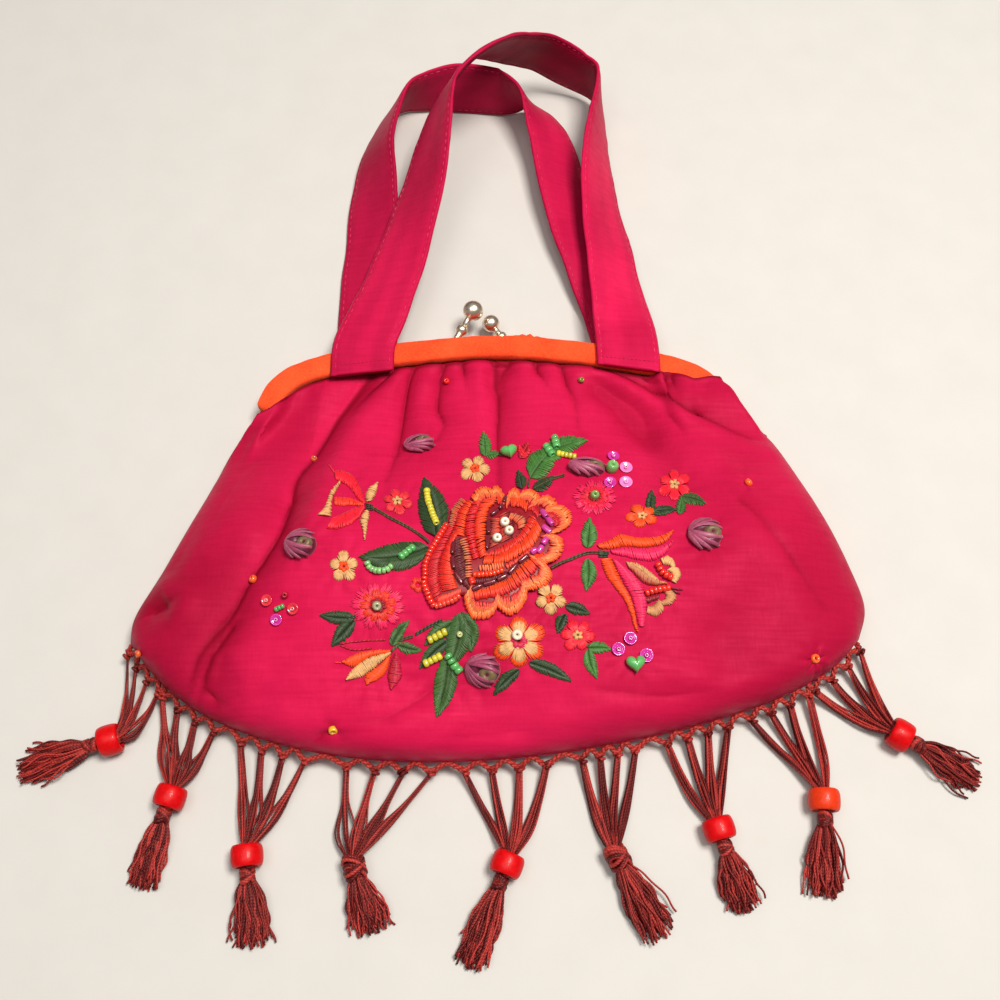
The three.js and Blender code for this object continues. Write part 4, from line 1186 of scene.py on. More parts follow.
def tassel(index, root, pitch, x, y, tip_x, tip_y, bead):
    """Legs from the seam to a bead or knot, the knot under it, and a skirt of threads."""
    build = Build()
    middle = np.array([x, y, BEAD_RADIUS])
    tip = np.array([tip_x, tip_y, 1.2])
    ahead = unit((tip - middle) * [1, 1, 0])
    across = np.array([-ahead[1], ahead[0], 0.0])
    half = (BEAD_LENGTH if bead else KNOT_LENGTH) / 2
    entry = middle - ahead * (half + 0.3)
    knot = middle + ahead * (half + 0.6 if bead else -half)
    knot_length = 3.4 if bead else KNOT_LENGTH
    starts, ends, middles = [], [], []
    floss = index in FLOSS_TASSELS
    count = 12 if floss else 7
    for k in range(LEGS):
        place = k - (LEGS - 1) / 2
        top = seam(np.clip(root + place * pitch, 0.004, 0.996), KNOT_OUT + 0.4, KNOT_Z - 0.2)
        bow = RNG.normal(0, 0.8) + place * 0.7
        loose = RNG.uniform(0.25, 0.5) if floss else 0.12
        for j in range(count):
            spread = 2 * j / (count - 1) - 1
            start = top + across * spread * 0.7 + [0, 0, RNG.uniform(-0.5, 0.5)]
            upper = lerp(top, entry, 0.35) + across * (bow * 0.7 + spread)
            upper[2] = 1.6 + 0.9 * (j % 2) + RNG.uniform(0, 0.5)
            wide = bow + spread * (0.9 + 3 * loose) + RNG.normal(0, loose)
            lower = lerp(top, entry, 0.72) + across * wide
            lower[2] = 1.6 + RNG.uniform(0, 1.5) + 0.5 * (j % 2)
            starts.append(start)
            middles.append([upper, lower])
            inside = across * (place * 0.55 + spread * 0.3) + [0, 0, RNG.uniform(-1.2, 1.2)]
            ends.append(entry + ahead * 1.6 + inside)
    legs = bundle(starts, ends, middles, LEG_POINTS)
    tubes(build, legs, FLOSS_RADIUS if floss else LEG_RADIUS, 5, thread_tone(len(legs)))
    knot_end = knot + ahead * knot_length
    knot_end[2] -= 0.8
    core = np.array([entry + ahead * 0.5, middle, knot_end])
    tubes(build, core[None], [[1.7, 1.7, 1.5]], 10, thread_tone(1))
    tied(build, knot, ahead, knot_length, 1.75 if bead else 2.9)
    skirt(build, knot_end, tip, ahead, across)
    build.make(f"tassel_threads_{index}", CORD, "cord", f"tassel_{index}")
    if bead:
        pony_bead(index, middle, ahead, bead)


for number, row in enumerate(TASSELS, 1):
    tassel(number, *row)

# Embroidery: threads, beads and sequins on the front silk, placed by points of the picture
ROSE_MIDDLE = np.array([497, 552.0])
ROSE_REACH = np.array([76, 70])
LEAF_PITCH = 1.1
PILLOW_RINGS = 6


def relief(u, v):
    """Height of the padding under the rose, in millimetres."""
    away = math.hypot(*(([u, v] - ROSE_MIDDLE) / ROSE_REACH))
    return 0.2 + 1.5 * float(smooth((1.12 - away) / 0.5))


def placed(u, v, lift):
    """Point over the front silk behind a picture point, and the direction away from the silk."""
    hit, normal = on_front(u, v)
    return hit + normal * (lift + relief(u, v)), normal


def directions(angle):
    """Directions along an angle of the picture and square to it."""
    c, s = math.cos(angle), math.sin(angle)
    return np.array([c, s]), np.array([-s, c])


class Needle:
    """Sews threads between picture points."""

    def __init__(self, radius):
        self.sewing = Stitches()
        self.radius = radius

    def stitch(self, a, b, tone_a, tone_b, height=0.3, lift=0.0):
        """One thread from point to point, a little darker or brighter at random."""
        (start, up_a), (end, up_b) = placed(*a, lift), placed(*b, lift)
        shade = RNG.uniform(0.88, 1.06)
        self.sewing.add(start, end, unit(up_a + up_b), self.radius, height, tone_a * shade, tone_b * shade)

    def band(self, edge_a, edge_b, tone_a, tone_b, pitch=1.05, jitter=0.3, lift=0.0, height=0.4):
        """A row of stitches from one edge to the other."""
        a, b = Path(spline(edge_a, 8)), Path(spline(edge_b, 8))
        count = max(3, int(max(a.length, b.length) / pitch))
        for f in (np.arange(count) + 0.5) / count:
            start, end = a.at(f) + RNG.normal(0, jitter, 2), b.at(f) + RNG.normal(0, jitter, 2)
            self.stitch(start, end, tone_a, tone_b, height, lift)

    def scallop(self, rim, hub, depth, rim_tone, inner_tone, deep_tone):
        """A rounded petal end: a rim of short stitches over an inner row."""
        rim = spline(rim, 6)
        inward = depth * unit(hub - rim)
        self.band(rim + inward * 0.8, rim + inward * 2.1, inner_tone, deep_tone, 1.5, 0.5, 0.2)
        self.band(rim + inward * 0.35, rim + inward * 1.25, inner_tone, inner_tone, 2.0, 0.7, 0.15)
        mixed = lerp(rim_tone, inner_tone, 0.45)
        self.band(rim, rim + inward * 0.85, rim_tone, mixed, 1.8, 0.35, 0.25)

    def leaf(self, base, tip, width, bend, tone, pale):
        """Two rows of slanting stitches on both sides of a bowed middle line."""
        base, tip = np.array(base, float), np.array(tip, float)
        run = tip - base
        side = np.array([-run[1], run[0]]) / np.linalg.norm(run)
        for f in np.linspace(0.02, 0.95, max(5, int(np.linalg.norm(run) / LEAF_PITCH))):
            g = min(1.0, f + 0.13)
            start = base + run * f + side * bend * 4 * f * (1 - f)
            for hand in (1, -1):
                half = width * math.sin(math.pi * g**0.85) ** 0.8 + 0.3
                end = base + run * g + side * (bend * 4 * g * (1 - g) + hand * half)
                shade = lerp(tone, pale, RNG.uniform(0.0, 0.55) + (0.35 if hand > 0 else 0.0))
                self.stitch(start, end + RNG.normal(0, 0.4, 2), tone, shade)

    def blossom(self, centre, radius, count, inner, outer, turn, squash, start, notch, fill, lift=0.0):
        """Petals round a middle, each a fan of stitches with a rounded end, notched or not."""
        centre = np.array(centre, float)
        wide = 0.84 * math.tan(math.pi / count) * (0.8 if count < 7 else 0.92)
        for k in range(count):
            ahead, aside = directions(turn + 2 * math.pi * k / count)
            for d in np.linspace(-1, 1, fill):
                reach = 0.5 + 0.5 * math.sqrt(1 - d * d * 0.92) - notch * math.exp(-((d / 0.25) ** 2))
                near = ahead * start + aside * d * start * wide
                far = ahead * reach + aside * d * wide
                near, far = (centre + radius * p * [1, squash] for p in (near, far))
                self.stitch(near, far + RNG.normal(0, 0.3, 2), inner, outer, 0.3, lift)

    def lobes(self, centre, radius, count, tone, turn, squash, spread, fill=13, lift=0.0):
        """Round petals that meet in the middle, each filled with close stitches."""
        centre = np.array(centre, float)
        for k in range(count):
            ahead, aside = directions(turn + 2 * math.pi * k / count)
            size = radius * RNG.uniform(0.92, 1.06)
            for d in np.linspace(-0.96, 0.96, fill):
                near = ahead * 0.16 + aside * d * 0.1
                far = ahead * (1 - spread + spread * math.sqrt(1 - d * d)) + aside * d * spread
                near, far = (centre + size * p * [1, squash] for p in (near, far))
                self.stitch(near, far + RNG.normal(0, 0.2, 2), tone * 0.92, tone, 0.4, lift)

    def patch(self, edge_a, edge_b, tone_a, tone_b, lift=0.0):
        """A padded petal: close stitches from edge to edge over a first, lower layer."""
        self.band(edge_a, edge_b, tone_a * 0.9, tone_b * 0.9, 1.6, 0.2, lift, 0.35)
        self.band(edge_a, edge_b, tone_a, tone_b, 1.05, 0.3, lift + 0.2, 0.5)

    def stem(self, points, tone, rows=2):
        """Overlapping stitches along a line."""
        line = Path(spline(points, 8))
        step = 4.2 / line.length
        for f in np.arange(0, 1, step):
            for k in range(rows):
                shift = np.array([0.0, (k - (rows - 1) / 2) * 1.7])
                self.stitch(line.at(f) + shift, line.at(min(1, f + 1.5 * step)) + shift, tone, tone * 1.15)


def ring_profile(radius, bore, half, count=10):
    """Profile of a rounded bead with a hole."""
    a = np.linspace(0, 2 * math.pi, count, endpoint=False)
    mid, depth = (radius + bore) / 2, (radius - bore) / 2
    return [(mid + depth * math.cos(x), half * np.sign(math.sin(x)) * abs(math.sin(x)) ** 0.8) for x in a]


def pillow(outline, thickness):
    """A closed cushion over an outline in a plane."""
    outline = np.asarray(outline, float)
    n = len(outline)
    slope = np.linspace(0, math.pi / 2, PILLOW_RINGS, endpoint=False)
    scale, high = np.cos(slope), np.sin(slope) * thickness / 2
    top = [np.column_stack([outline * s, np.full(n, h)]) for s, h in zip(scale, high)]
    low = [np.column_stack([outline * s, np.full(n, -h)]) for s, h in zip(scale[:0:-1], high[:0:-1])]
    vertices = np.vstack([*low, *top])
    return vertices, tube_faces(2 * PILLOW_RINGS - 1, n, flip=False)


class Beads:
    """Beads set on the cloth, collected into one piece."""

    def __init__(self):
        self.build = Build()

    def put(self, shape, centre, frame_of, tone):
        """A shape in its place, a little darker or brighter at random."""
        vertices, faces = shape
        shade = RNG.uniform(0.88, 1.08)
        self.build.add(vertices @ frame_of.T + centre, faces, tone * shade)

    def ring(self, u, v, tone, radius, lean):
        """One bead that shows its hole."""
        centre, normal = placed(u, v, radius * 0.45)
        self.put(seed_shape(radius), centre, turned(normal + [*lean, 0]), tone)

    def line(self, points, tone, radius, squeeze=0.62, lift=0.75):
        """Beads threaded one behind the other along a line."""
        flat = Path(spline(points, 8))
        path = Path(np.array([placed(*flat.at(f), radius * lift)[0] for f in np.linspace(0, 1, 24)]))
        count = max(2, round(path.length / (2 * squeeze * radius)))
        for f in (np.arange(count) + 0.5) / count:
            axis = path.tangent(f, 0.03) + RNG.normal(0, 0.05, 3)
            self.put(seed_shape(radius * RNG.uniform(0.92, 1.06), squeeze), path.at(f), turned(axis), tone)

    def bugle(self, a, b, tone, radius, lift=0.8):
        """One tube bead from point to point."""
        (start, _), (end, _) = placed(*a, radius * lift), placed(*b, radius * lift)
        half = np.linalg.norm(end - start) / 2
        vertices, faces = lathe(ring_profile(radius, radius * 0.35, half, 14), 14)
        self.put((vertices, [faces[:, ::-1]]), (start + end) / 2, turned(end - start), tone)

    def ball(self, u, v, tone, radius):
        """One round bead with a fine hole."""
        centre, normal = placed(u, v, radius * 0.75)
        vertices, faces = lathe(ring_profile(radius, radius * 0.12, radius * 0.95, 16), 20)
        self.put((vertices, [faces[:, ::-1]]), centre, turned(normal + [0.2, -0.25, 0]), tone)

    def sequin(self, u, v, tone, radius, seed_tone):
        """One cupped sequin, held by a seed bead."""
        centre, normal = placed(u, v, 0.45)
        upper = [(0.4, 0.0), (radius * 0.55, 0.05), (radius * 0.8, 0.32), (radius, 0.5)]
        lower = [(radius, 0.42), (radius * 0.8, 0.2), (radius * 0.55, -0.07), (0.4, -0.12)]
        vertices, faces = lathe(upper + lower, 28)
        lean = turned(normal - 0.6 * FORWARD + RNG.normal(0, 0.08, 3))
        self.put((vertices, [faces]), centre, lean, tone)
        self.put(seed_shape(0.62), centre + lean[:, 2] * 0.5, lean, seed_tone)

    def heart(self, u, v, size, turn, tone):
        """One heart-shaped bead."""
        a = np.linspace(0, 2 * math.pi, 40, endpoint=False)
        x = 16 * np.sin(a) ** 3
        y = 13 * np.cos(a) - 5 * np.cos(2 * a) - 2 * np.cos(3 * a) - np.cos(4 * a) + 2
        c, s = math.cos(turn), math.sin(turn)
        outline = np.column_stack([x * c - y * s, x * s + y * c]) * size / 32
        centre, normal = placed(u, v, 1.4)
        self.put(pillow(outline[::-1], 3.6), centre, turned(normal), tone)


def seed_shape(radius, squeeze=0.62):
    """A small bead; squeeze is its half length by its radius."""
    vertices, faces = lathe(ring_profile(radius, radius * 0.32, radius * squeeze), 16)
    return vertices, [faces[:, ::-1]]


# Thread and bead colours
ORANGE = linear(240, 74, 14)
PEACH = linear(236, 138, 76)
RED = linear(204, 17, 27)
CRIMSON = linear(166, 12, 32)
MAROON = linear(96, 12, 24)
TAN = linear(188, 122, 78)
SALMON = linear(232, 84, 60)
CREAM = linear(214, 164, 106)
PINK = linear(232, 32, 90)
CORAL = linear(222, 40, 54)
SCARLET = linear(234, 22, 48)
DARK_GREEN = linear(36, 56, 30)
MOSS = linear(54, 82, 38)
GREEN = linear(60, 110, 44)
BRIGHT_GREEN = linear(84, 138, 62)
OLIVE = linear(74, 66, 38)
YELLOW_BEAD = linear(208, 198, 56)
GREEN_BEAD = linear(88, 170, 92)
PALE_GREEN_BEAD = linear(132, 192, 116)
RED_BEAD = linear(222, 40, 28)
MAROON_BEAD = linear(104, 24, 40)
MAGENTA_BEAD = linear(198, 54, 146)
MAGENTA = linear(206, 48, 158)
ROSY = linear(236, 128, 196)
PEARL = linear(232, 220, 196)
MAUVE = linear(140, 48, 82)
PALE_MAUVE = linear(168, 84, 112)
GLINT = np.array([1.0, 0.8, 0.9])

# Rose: a padded base, layered rows of stitches from the outside to the heart, and bead lines
HUB = (503, 548)
ROSE_RIMS = [
    [(471, 500), (475, 493), (482, 488.5), (490, 490), (494, 488), (500, 488.5), (505, 498)],
    [(509, 499), (512, 493), (517, 490), (521, 496)],
    [(520, 497), (526, 491.5), (534, 491.5), (540, 497), (537, 502)],
    [(539, 500), (549, 496.5), (556, 501), (558, 507)],
    [(549, 510), (557, 506.5), (566, 508), (571.5, 514.5), (571.5, 523), (566, 529.5), (558, 534)],
    [(554, 537), (561, 539), (564, 547), (562, 555), (556, 561.5), (547, 565.5)],
    [(541, 562), (547, 568), (551, 577), (547, 586), (537, 590.5), (526, 594)],
    [(527, 594), (525.5, 602), (519, 611), (511, 616), (502, 613), (495, 607)],
    [(496, 607), (492, 616), (482, 620), (472, 618.5), (467, 611), (464, 598)],
]
LEFT_PETAL = [
    (447, 528), (441, 537), (435, 546), (428, 558), (425, 567), (425, 576), (423.5, 583), (427, 592),
    (431, 602), (435, 607),
]
LEFT_FOOT = [(435, 607), (443, 605), (453, 600.5), (460, 596)]
SPINE = [(471.5, 592), (483, 587), (496.5, 583), (508, 577), (518, 566), (529, 557)]
PAD_POINTS = 120
PAD_RINGS = 14
UPPER_LEFT = [(451, 518), (454, 508), (462, 501)]


def rose_pad():
    """A cushion under the whole rose, a little smaller than its outline; its dark maroon-crimson, seen in
    the gaps between stitches, is painted shade.
    """
    rim = [p for row in ROSE_RIMS for p in row] + LEFT_FOOT[::-1] + LEFT_PETAL[::-1] + UPPER_LEFT
    rim = lerp(np.array(rim, float), ROSE_MIDDLE, 0.035)
    rim = Path(np.vstack([rim, rim[:1]])).at(np.linspace(0, 1, PAD_POINTS, endpoint=False))
    rings = [[placed(*p, -1.2)[0] for p in rim]]
    for share in np.linspace(1, 0.04, PAD_RINGS):
        rings.append([placed(*p, -0.12)[0] for p in lerp(ROSE_MIDDLE, rim, share)])
    vertices = np.array(rings)
    build = Build()
    turn = np.broadcast_to([0, 1.0, 0], vertices.shape)
    build.add(vertices, tube_faces(len(rings), PAD_POINTS), lerp(MAROON, CRIMSON, 0.5), turn)
    return build.make("rose_padding", FLOSS, "silk")


rose_pad()
rose = Needle(0.36)
for rim in ROSE_RIMS:
    rose.scallop(rim, HUB, 7.0, ORANGE, PEACH, RED)
# Bands of stitches: both edges, the colours at them, and then step, scatter and lift
OUTER_BANDS = [
    ([(461, 500), (453, 509), (450.5, 518), (448, 529)], [(467, 505), (460, 513), (457, 522), (454, 531)],
     TAN, RED, 1.9),
    ([(466, 502), (459, 513), (456, 524), (453, 538)], [(474, 506), (468, 516), (466, 527), (464, 540)],
     RED, ORANGE, 1.8),
    (LEFT_PETAL, [(455, 530), (450, 540), (446, 549), (441, 559), (439, 567), (439, 575), (439, 582),
                  (440, 590), (442, 596), (444, 599)], CRIMSON, RED, 1.8),
    ([(455, 532), (450, 541), (444, 551), (440, 560), (438, 570), (438, 580), (441, 592)],
     [(456, 540), (454, 547), (452, 556), (452, 564), (453, 573), (455, 580), (458, 589)],
     RED, lerp(RED, ORANGE, 0.6), 1.8),
    (LEFT_FOOT, [(441, 595), (448, 594), (455, 591), (461, 590)], RED, SALMON, 1.9),
]
for band in OUTER_BANDS:
    rose.band(*band)
rose.blossom((418, 585), 8, 5, RED, lerp(RED, ORANGE, 0.5), 0.4, 1.0, 0.2, 0.0, 6)
INNER_BANDS = [
    ([(453, 543), (451.5, 559), (453.5, 574), (463, 587), (470, 592)],
     [(461, 541), (464, 552), (467, 565), (468, 578), (472, 588)], MAROON, MAROON, 1.7),
    ([(459, 543), (462, 553), (464.5, 563), (465, 580)], [(467, 541), (470, 553), (472, 564), (472.5, 580)],
     TAN, SALMON, 2.4, 0.3, 0.3),
    ([(472, 505), (467, 518), (465, 532), (468, 548), (473, 563)],
     [(483, 505), (478, 516), (476, 530), (477, 546), (480, 560)], RED, RED, 1.7, 0.4, 0.25),
    ([(482, 503), (477, 515), (474, 530), (476, 546), (480, 562)],
     [(498, 505), (489, 515), (486.5, 530), (485.5, 545), (487, 557)], lerp(RED, ORANGE, 0.3),
     ORANGE, 1.7, 0.4, 0.55),
    ([(497, 500), (503, 499), (508, 502)], [(498, 508), (502, 509), (506, 508)],
     ORANGE, RED, 1.7, 0.4, 0.3),
    ([(511, 500), (519, 500), (528, 505)], [(512, 511), (520, 511), (527, 516)],
     ORANGE, lerp(ORANGE, RED, 0.6), 1.7, 0.4, 0.3),
    ([(529, 502), (536, 506), (541, 512)], [(529, 513), (534, 516), (538, 522)], CRIMSON, RED, 1.7),
    ([(550, 513), (557, 513), (562, 518), (561, 525)], [(545, 519), (550, 520), (553, 524), (553, 529)],
     CRIMSON, RED, 1.7),
    ([(487, 557), (497.5, 551.5), (512, 542.5), (523, 532), (530, 519)],
     [(484, 560), (501, 558), (517, 549), (529, 538), (537, 523)], RED, lerp(RED, ORANGE, 0.45),
     1.7, 0.4, 0.5),
    ([(485, 559), (501, 556), (516, 547), (528, 537), (535, 522)],
     [(482, 567), (503, 566), (522, 556), (534, 548), (542, 533)], lerp(RED, ORANGE, 0.4),
     ORANGE, 1.7, 0.4, 0.3),
    ([(479, 567), (490, 567), (503, 564)], [(480, 574), (491, 574), (504, 571)],
     PEACH, SALMON, 2.3, 0.4, 0.3),
    ([(475, 579), (490, 578), (506, 573)], [(475, 587), (490, 584), (507, 578)], MAROON, MAROON, 1.7),
    ([(472, 594), (486, 589), (500, 584), (511, 578), (521, 567), (531, 559), (540, 553)],
     [(471, 602), (487, 600), (504, 597), (518, 589), (530, 578), (542, 567), (550, 560)],
     ORANGE, RED, 1.7, 0.5, 0.2),
    ([(469, 603), (482, 602), (494, 603)], [(470, 609), (482, 611), (493, 610)],
     RED, SALMON, 1.7, 0.4, 0.15),
    ([(503, 598), (513, 595), (522, 590)], [(504, 605), (513, 606), (523, 598)],
     RED, SALMON, 1.7, 0.4, 0.15),
    ([(505, 566), (515, 561), (524, 555), (532, 549)], [(507, 572), (516, 566), (525, 560), (533, 554)],
     RED, SALMON, 1.7, 0.4, 0.15),
    ([(490, 522), (489, 537), (488, 552)], [(500, 522), (500, 536), (499, 546)], MAROON, SALMON, 1.8),
    ([(499, 520), (501, 533), (500, 546)], [(510, 514), (515, 528), (512, 540)], lerp(SALMON, CRIMSON, 0.5),
     MAROON, 1.8),
    ([(511, 517), (518, 518), (526, 523), (525, 531)], [(509, 523), (514, 524), (518, 528), (518, 533)],
     TAN, SALMON, 2.1, 0.3, 0.35),
]
for band in INNER_BANDS:
    rose.band(*band)
rose.sewing.make("rose_stitches", "silk")

GLASS = tinted_material("bead_glass", 0.2, coat=0.5, fibre=0.05, variety=0.12)
beads = Beads()
beads.line(LEFT_PETAL, RED_BEAD, 1.0, 0.62, 0.9)
beads.line(LEFT_FOOT, lerp(RED_BEAD, SALMON, 0.4), 1.0, 0.62, 0.9)
beads.line([(473, 577), (482, 577), (493, 576), (503, 573)], lerp(RED_BEAD, ORANGE, 0.4), 0.95)
beads.line([(471, 581), (473, 586)], RED_BEAD, 1.0)
for a, b in zip(SPINE[:-1], SPINE[1:]):
    beads.bugle(lerp(np.array(a), b, 0.06), lerp(np.array(a), b, 0.94), MAROON_BEAD, 0.72, 1.1)
# Tube beads from point to point
DARK_BUGLES = [
    ((489, 525), (489, 538)), ((488.7, 540), (487, 553)), ((492, 520), (498, 515)),
    ((499, 514), (504, 510)), ((505, 508), (507, 502)), ((454, 546), (452.4, 558)),
    ((452.4, 560), (454, 572)), ((455, 575), (462, 586)),
]
for a, b in DARK_BUGLES:
    beads.bugle(a, b, MAROON_BEAD, 0.68, 1.4)
PINK_BUGLES = [
    ((542, 514), (547, 521)), ((548, 522), (553, 528)), ((543, 530), (551, 536)),
    ((547, 541), (543, 548)), ((542.5, 549), (538, 556)), ((531, 556), (537, 552)),
]
for a, b in PINK_BUGLES:
    beads.bugle(a, b, MAGENTA_BEAD, 0.95, 1.0)
for u, v in [(505.4, 527), (509.4, 535.5), (497, 542)]:
    beads.ball(u, v, PEARL, 1.45)

# Leaves and stems
sprays = Needle(0.26)
# Points and colour
STEMS = [
    ([(370, 507), (391, 519), (412, 530), (429, 543)], OLIVE),
    ([(550, 569), (571, 559), (588, 553), (604, 553.5)], OLIVE),
    ([(415, 635), (428, 627), (442, 620)], DARK_GREEN), ([(399, 640), (413, 636)], OLIVE),
    ([(530, 478), (528, 488)], OLIVE), ([(533, 489), (548, 481), (564, 476)], OLIVE),
    ([(497, 455), (504, 455)], MOSS), ([(391, 652), (399, 644)], MOSS),
    ([(346, 619), (356, 616)], DARK_GREEN), ([(651, 512), (660, 514)], MOSS),
    ([(589, 647), (583, 642)], MOSS), ([(598, 552), (609, 553)], DARK_GREEN),
    ([(598, 556), (608, 556)], DARK_GREEN), ([(365, 505), (373, 507)], DARK_GREEN),
    ([(365, 509), (373, 510)], DARK_GREEN), ([(456, 616), (450, 632), (445, 648)], DARK_GREEN),
]
# Base, tip, half width, bend, dark and pale colour
LEAVES = [
    ((436, 539), (424, 478), 15, 3, DARK_GREEN, MOSS),
    ((430, 548), (359, 557), 14, -5, lerp(DARK_GREEN, MOSS, 0.5), MOSS),
    ((355, 618), (320, 615.5), 6.8, -1, DARK_GREEN, MOSS),
    ((355, 620), (332, 646), 7.5, 1, DARK_GREEN, MOSS),
    ((391.5, 646), (409, 621), 5.5, -2, MOSS, BRIGHT_GREEN),
    ((397.5, 645), (422, 650.5), 5.2, 1, MOSS, BRIGHT_GREEN),
    ((461, 612), (448, 668), 13, -4, MOSS, GREEN), ((461, 612), (471, 652), 9, -4, MOSS, GREEN),
    ((456, 622), (425, 645), 8, 2, MOSS, GREEN),
    ((449, 655), (437, 717), 11, -2, MOSS, lerp(GREEN, BRIGHT_GREEN, 0.4)),
    ((449, 640), (420, 668), 7, 2, DARK_GREEN, GREEN),
    ((528, 662), (571, 681), 6.5, -2, DARK_GREEN, MOSS),
    ((520, 669), (494, 695), 6.5, 2, DARK_GREEN, MOSS),
    ((530, 479), (556, 448), 13, -2, GREEN, BRIGHT_GREEN),
    ((540, 462), (587, 441), 10, -5, GREEN, BRIGHT_GREEN),
    ((522, 490), (518, 471), 5.5, 1, DARK_GREEN, MOSS), ((533, 490), (554, 477), 6, 1, DARK_GREEN, MOSS),
    ((485, 457), (483, 432), 6, 1, GREEN, BRIGHT_GREEN),
    ((486, 456), (499, 454), 4, 0, GREEN, BRIGHT_GREEN),
    ((587, 549), (589, 518.5), 8, 1, GREEN, BRIGHT_GREEN),
    ((587.5, 558), (586, 591), 7.5, -2, GREEN, BRIGHT_GREEN),
    ((649, 511), (651, 491), 5, 1, DARK_GREEN, MOSS), ((652, 513), (676, 510), 5, -1, DARK_GREEN, MOSS),
    ((679, 515), (681, 497), 5, 1, GREEN, MOSS), ((681, 497), (706, 504), 5.5, -1, MOSS, GREEN),
    ((565, 606), (590, 614), 6, -1, DARK_GREEN, MOSS), ((565, 614), (558, 633), 5.5, 1, DARK_GREEN, MOSS),
    ((588, 648), (611, 649), 5.5, -1, GREEN, BRIGHT_GREEN),
    ((588, 649), (597, 678), 6, 2, GREEN, BRIGHT_GREEN),
]
for points, tone in STEMS:
    sprays.stem(points, tone)
for leaf in LEAVES:
    sprays.leaf(*leaf)
sprays.sewing.make("leaf_stitches", "silk")

# Round-petalled flowers: middle, radius, petals, colour, turn, upright share, spread, colour of the middle
flowers = Needle(0.24)
ROUND_FLOWERS = [
    ((475, 469.5), 15.5, 5, CREAM, 0.05, 0.92, 0.4, ORANGE),
    ((344, 567), 15, 5, CREAM, 0.9, 1.05, 0.4, ORANGE),
    ((550.5, 599), 17, 5, CREAM, 0.3, 0.98, 0.4, ORANGE),
    ((641.5, 516.5), 17, 5, ORANGE, 0.5, 0.72, 0.4, CREAM),
    ((397.5, 502), 15, 6, CORAL, 0.3, 0.86, 0.33, CREAM),
    ((674, 485.5), 16.5, 6, SCARLET, 0.5, 0.95, 0.33, CREAM),
    ((577.5, 635.5), 17.5, 6, SCARLET, 0.1, 0.95, 0.33, CREAM),
]
for centre, radius, count, tone, turn, squash, spread, middle in ROUND_FLOWERS:
    flowers.lobes(centre, radius, count, tone, turn, squash, spread)
    flowers.lobes(centre, 5.6, 5, middle, turn + 0.6, squash, 0.3, 5, 0.4)
# Ragged flowers with two rings: middle, radius, upright share, colour of the inner ring
RAGGED_FLOWERS = [
    ((378, 606), 29, 0.88, lerp(RED, ORANGE, 0.55)), ((594.5, 498), 23.5, 0.78, lerp(SCARLET, PINK, 0.5)),
]
for centre, radius, squash, tone in RAGGED_FLOWERS:
    flowers.blossom(centre, radius, 10, lerp(RED, PINK, 0.7), PINK, 0.1, squash, 0.4, 0.14, 11)
    flowers.blossom(centre, radius * 0.68, 9, RED, tone, 0.4, squash, 0.34, 0.1, 9, 0.35)
    flowers.blossom(centre, radius * 0.34, 7, MAROON, CRIMSON, 0.2, squash, 0.2, 0.0, 4, 0.5)
# Orange flower with cream petals inside
flowers.lobes((519, 642), 28, 6, ORANGE, 0.52, 0.97, 0.36, 17)
flowers.lobes((519, 641.5), 22.5, 6, CREAM, 0.52, 0.97, 0.32, 13, 0.35)
flowers.blossom((519, 641), 9, 6, CRIMSON, PINK, 0.1, 0.95, 0.15, 0.0, 6, 0.7)

# Left tulip
flowers.patch([(335, 480), (346, 485), (353, 492), (358, 499), (364, 505)],
              [(334, 472), (341, 471), (352, 476), (360, 487), (365, 503)],
              SCARLET, SCARLET)
flowers.stem([(329, 465), (335, 474)], CORAL, 1)
flowers.patch([(332, 519), (338, 516.5), (350, 511), (360, 507), (364, 507)],
              [(327, 529), (338, 529), (350, 525), (358, 519), (364, 510)],
              SCARLET, SCARLET)
flowers.patch([(364, 505), (353, 499.5), (345, 498), (334, 497.5)],
              [(364, 507), (350, 506), (342, 506.5), (334, 505.5)],
              lerp(SCARLET, ORANGE, 0.3), lerp(SCARLET, ORANGE, 0.6))
flowers.patch([(339, 482), (332.5, 489), (328, 498), (325.5, 506), (317.5, 515.5)],
              [(340, 484), (335.5, 492), (332, 499), (331.4, 507), (331, 517)],
              CREAM, lerp(CREAM, PEACH, 0.3))
flowers.patch([(367, 503.5), (365.5, 496), (370, 488), (377.5, 483.5)],
              [(371, 502), (375, 496), (376.5, 492), (378, 484)], CREAM, CREAM)
flowers.patch([(366, 511), (361, 517), (360.5, 523), (363, 530), (364.5, 541)],
              [(369, 512), (369, 518), (367.5, 526), (366, 535), (365, 541)],
              CREAM, CREAM)
# Right tulip
flowers.patch([(597, 544.5), (609, 540.5), (619, 534.7), (634, 537.5), (648, 538), (662, 535.5),
               (672.8, 531)],
              [(601, 549), (612, 549), (625, 546.5), (641, 547.5), (657, 546), (668, 540.5), (673, 532)],
              ORANGE, ORANGE)
flowers.patch([(610, 550), (625, 547.5), (641, 548.5), (657, 547), (668, 544), (672.8, 541)],
              [(612, 554), (625, 557), (639.6, 560), (653, 561), (665, 554), (673, 542)], PINK, PINK)
flowers.patch([(600.3, 559), (605, 573.5), (613, 585.7), (623, 598), (630.5, 615), (633.5, 626.5),
               (637, 633)],
              [(611, 558), (616, 569.5), (622.5, 583.5), (630.5, 598), (634.5, 612), (637, 626),
               (637.5, 633)], ORANGE, ORANGE)
flowers.patch([(612, 559), (617, 569.5), (624, 583.5), (632, 598), (635.5, 612), (639, 626)],
              [(619, 564), (634, 575), (643, 588), (646.3, 598), (646.5, 613), (644, 627)], PINK, PINK)
